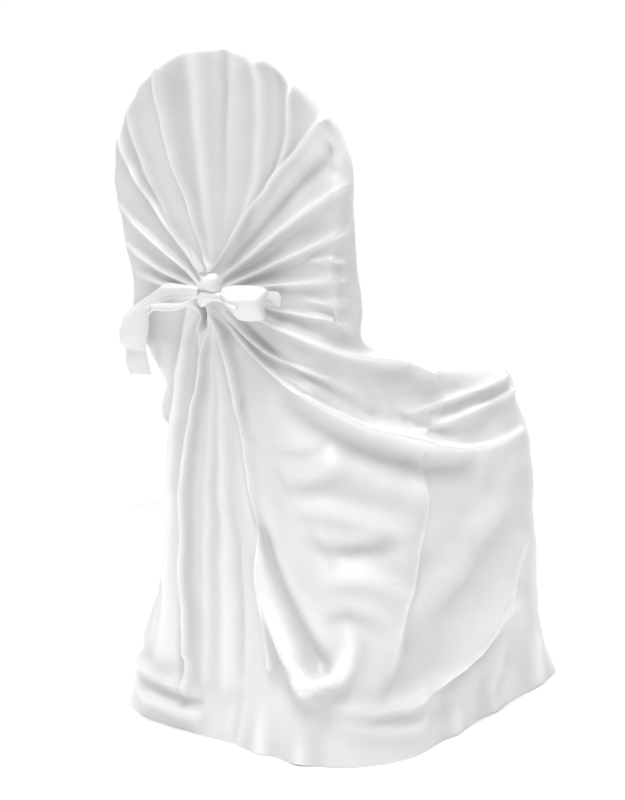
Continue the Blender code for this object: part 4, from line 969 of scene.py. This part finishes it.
# thin strips of cloth, all in one mesh
def buildStrips(name, bunch):
    across = bunch["across"]
    u = np.linspace(0.0, 1.0, across)[None, :]
    points, faces, corners = [], [], []
    for number, table in enumerate(bunch["strips"]):
        rows = spline(np.array(table) / 1000.0, tie["rowsBetween"])
        size = dict(zip(stripColumns, rows.T[:, :, None]))
        v = np.linspace(0.0, 1.0, len(rows))[:, None]
        folds = np.zeros((len(rows), across))
        for k, (place, width, height) in enumerate(bunch["pleats"]):
            middle = place + 0.05 * np.sin(7.0 * v + 2.3 * k + 1.9 * number)
            ruffle = 0.75 + 0.25 * np.sin(11.0 * v + k)
            folds += height * ruffle * np.exp(-(np.abs((u - middle) / width) ** 1.2))
        x = size["topX"] * (1.0 - u) + size["lowX"] * u
        z = size["topZ"] * (1.0 - u) + size["lowZ"] * u
        bulge = np.sin(math.pi * u) ** 0.7
        if "crease" in bunch:
            bent = np.where(u < bunch["crease"], u / bunch["crease"], (1.0 - u) / (1.0 - bunch["crease"]))
            bulge = np.sin(0.5 * math.pi * bent) ** 1.1
        y = size["y"] + size["belly"] * bulge + size["pleat"] * folds
        grid = clearOfCover(np.stack([x, y, z], -1))
        count, first = len(rows), len(points)
        steps = np.linalg.norm(np.diff(grid[:, across // 2], axis=0), axis=1)
        along = np.concatenate([[0.0], np.cumsum(steps)])
        wide = np.linalg.norm(grid[:, -1] - grid[:, 0], axis=1)
        places = [(wide[i] * j / (across - 1), along[i]) for i in range(count) for j in range(across)]
        for i in range(count - 1):
            for j in range(across - 1):
                k = i * across + j
                face = (k, k + 1, k + across + 1, k + across)
                faces.append([first + corner for corner in face])
                corners += [places[corner] for corner in face]
        points += list(grid.reshape(-1, 3))
    piece = clothObject(name, points, faces, corners)
    outwards(piece)
    thick = piece.modifiers.new("thickness", "SOLIDIFY")
    thick.thickness = bunch["thickness"]
    thick.offset = 0.0
    bpy.context.view_layer.objects.active = piece
    piece.select_set(True)
    bpy.ops.object.modifier_apply(modifier=thick.name)
    piece.select_set(False)
    piece.data.shade_smooth()
    return piece


knotCloth = buildStrips("knotCloth", knot)
tailCloth = buildStrips("leftTailCloth", leftTail)
loopCloth = buildStrips("rightLoopCloth", rightLoop)
endCloth = buildStrips("rightEndCloth", rightEnd)
print("tie built")

for piece, node in ((coverCloth, "cover"), (knotCloth, "knot"), (tailCloth, "left_tail"),
                    (loopCloth, "right_loop"), (endCloth, "right_end")):
    piece.data.transform(Matrix.Translation(originShift))
    piece.data.materials.append(coverSatin if piece is coverCloth else tieSatin)
    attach(piece, "root")
    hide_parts(node)


studio = {
    "floorSize": 3.6, "floorColour": (0.95, 0.95, 0.95, 1.0),
    "worldStrength": 1.02, "worldDim": 0.47,
    "backdropSide": (0.59, -0.80, 0.10), "backdropFrom": 0.10, "backdropTo": 0.70,
    "camera": (-0.9436, 1.3348, 0.521), "turn": 217.3, "tilt": 2.14, "lens": 45.45,
}


def softLight(name, place, aim, size, power):
    light = bpy.data.lights.new(name, "AREA")
    light.shape = "DISK"
    light.size = size
    light.energy = power
    lamp = bpy.data.objects.new(name, light)
    bpy.context.scene.collection.objects.link(lamp)
    lamp.location = place
    lamp.rotation_euler = (Vector(aim) - Vector(place)).to_track_quat("-Z", "Y").to_euler()


bpy.ops.mesh.primitive_plane_add(size=studio["floorSize"], location=(0.0, 0.0, 0.0))
floor = bpy.context.object
floor.name = "studioFloor"
pale = bpy.data.materials.new("paleFloor")
pale.use_nodes = True
pale.node_tree.nodes["Principled BSDF"].inputs["Base Color"].default_value = studio["floorColour"]
pale.node_tree.nodes["Principled BSDF"].inputs["Roughness"].default_value = 0.8
floor.data.materials.append(pale)

world = bpy.data.worlds.new("studioWorld")
world.use_nodes = True
# white behind the chair, greyer on the side of the main light
background = world.node_tree.nodes["Background"]
background.inputs["Color"].default_value = (1.0, 1.0, 1.0, 1.0)
backdrop = world.node_tree
direction = addNode(backdrop, "TexCoord", {})
facing = addNode(
    backdrop, "VectorMath", {0: direction["Generated"], 1: studio["backdropSide"]}, operation="DOT_PRODUCT"
)
fade = addNode(backdrop, "MapRange", {
    "Value": facing["Value"], "From Min": studio["backdropFrom"], "From Max": studio["backdropTo"],
    "To Min": studio["worldDim"], "To Max": studio["worldStrength"],
})
setInputs(backdrop, background, {"Strength": fade["Result"]})
bpy.context.scene.world = world
bpy.context.scene.view_settings.view_transform = "Standard"

softLight("keyLight", (-0.2, 1.6, 2.9), (0.0, 0.0, 0.4), 1.6, 40.0)
softLight("topLight", (0.0, 0.3, 3.0), (0.0, 0.0, 0.0), 1.2, 60.0)
softLight("sideLight", (-1.6, -1.4, 1.3), (0.0, 0.0, 0.3), 1.0, 4.0)

view = bpy.data.cameras.new("view")
camera = bpy.data.objects.new("view", view)
bpy.context.scene.collection.objects.link(camera)
camera.location = studio["camera"]
view.sensor_fit = "VERTICAL"
view.sensor_height = 36.0
view.lens = studio["lens"]
turn, tilt = math.radians(studio["turn"]), math.radians(studio["tilt"])
ahead = Vector((-math.sin(turn) * math.cos(tilt), math.cos(turn) * math.cos(tilt), -math.sin(tilt)))
camera.rotation_euler = ahead.to_track_quat("-Z", "Y").to_euler()
bpy.context.scene.camera = camera
print("stage, light and camera set")
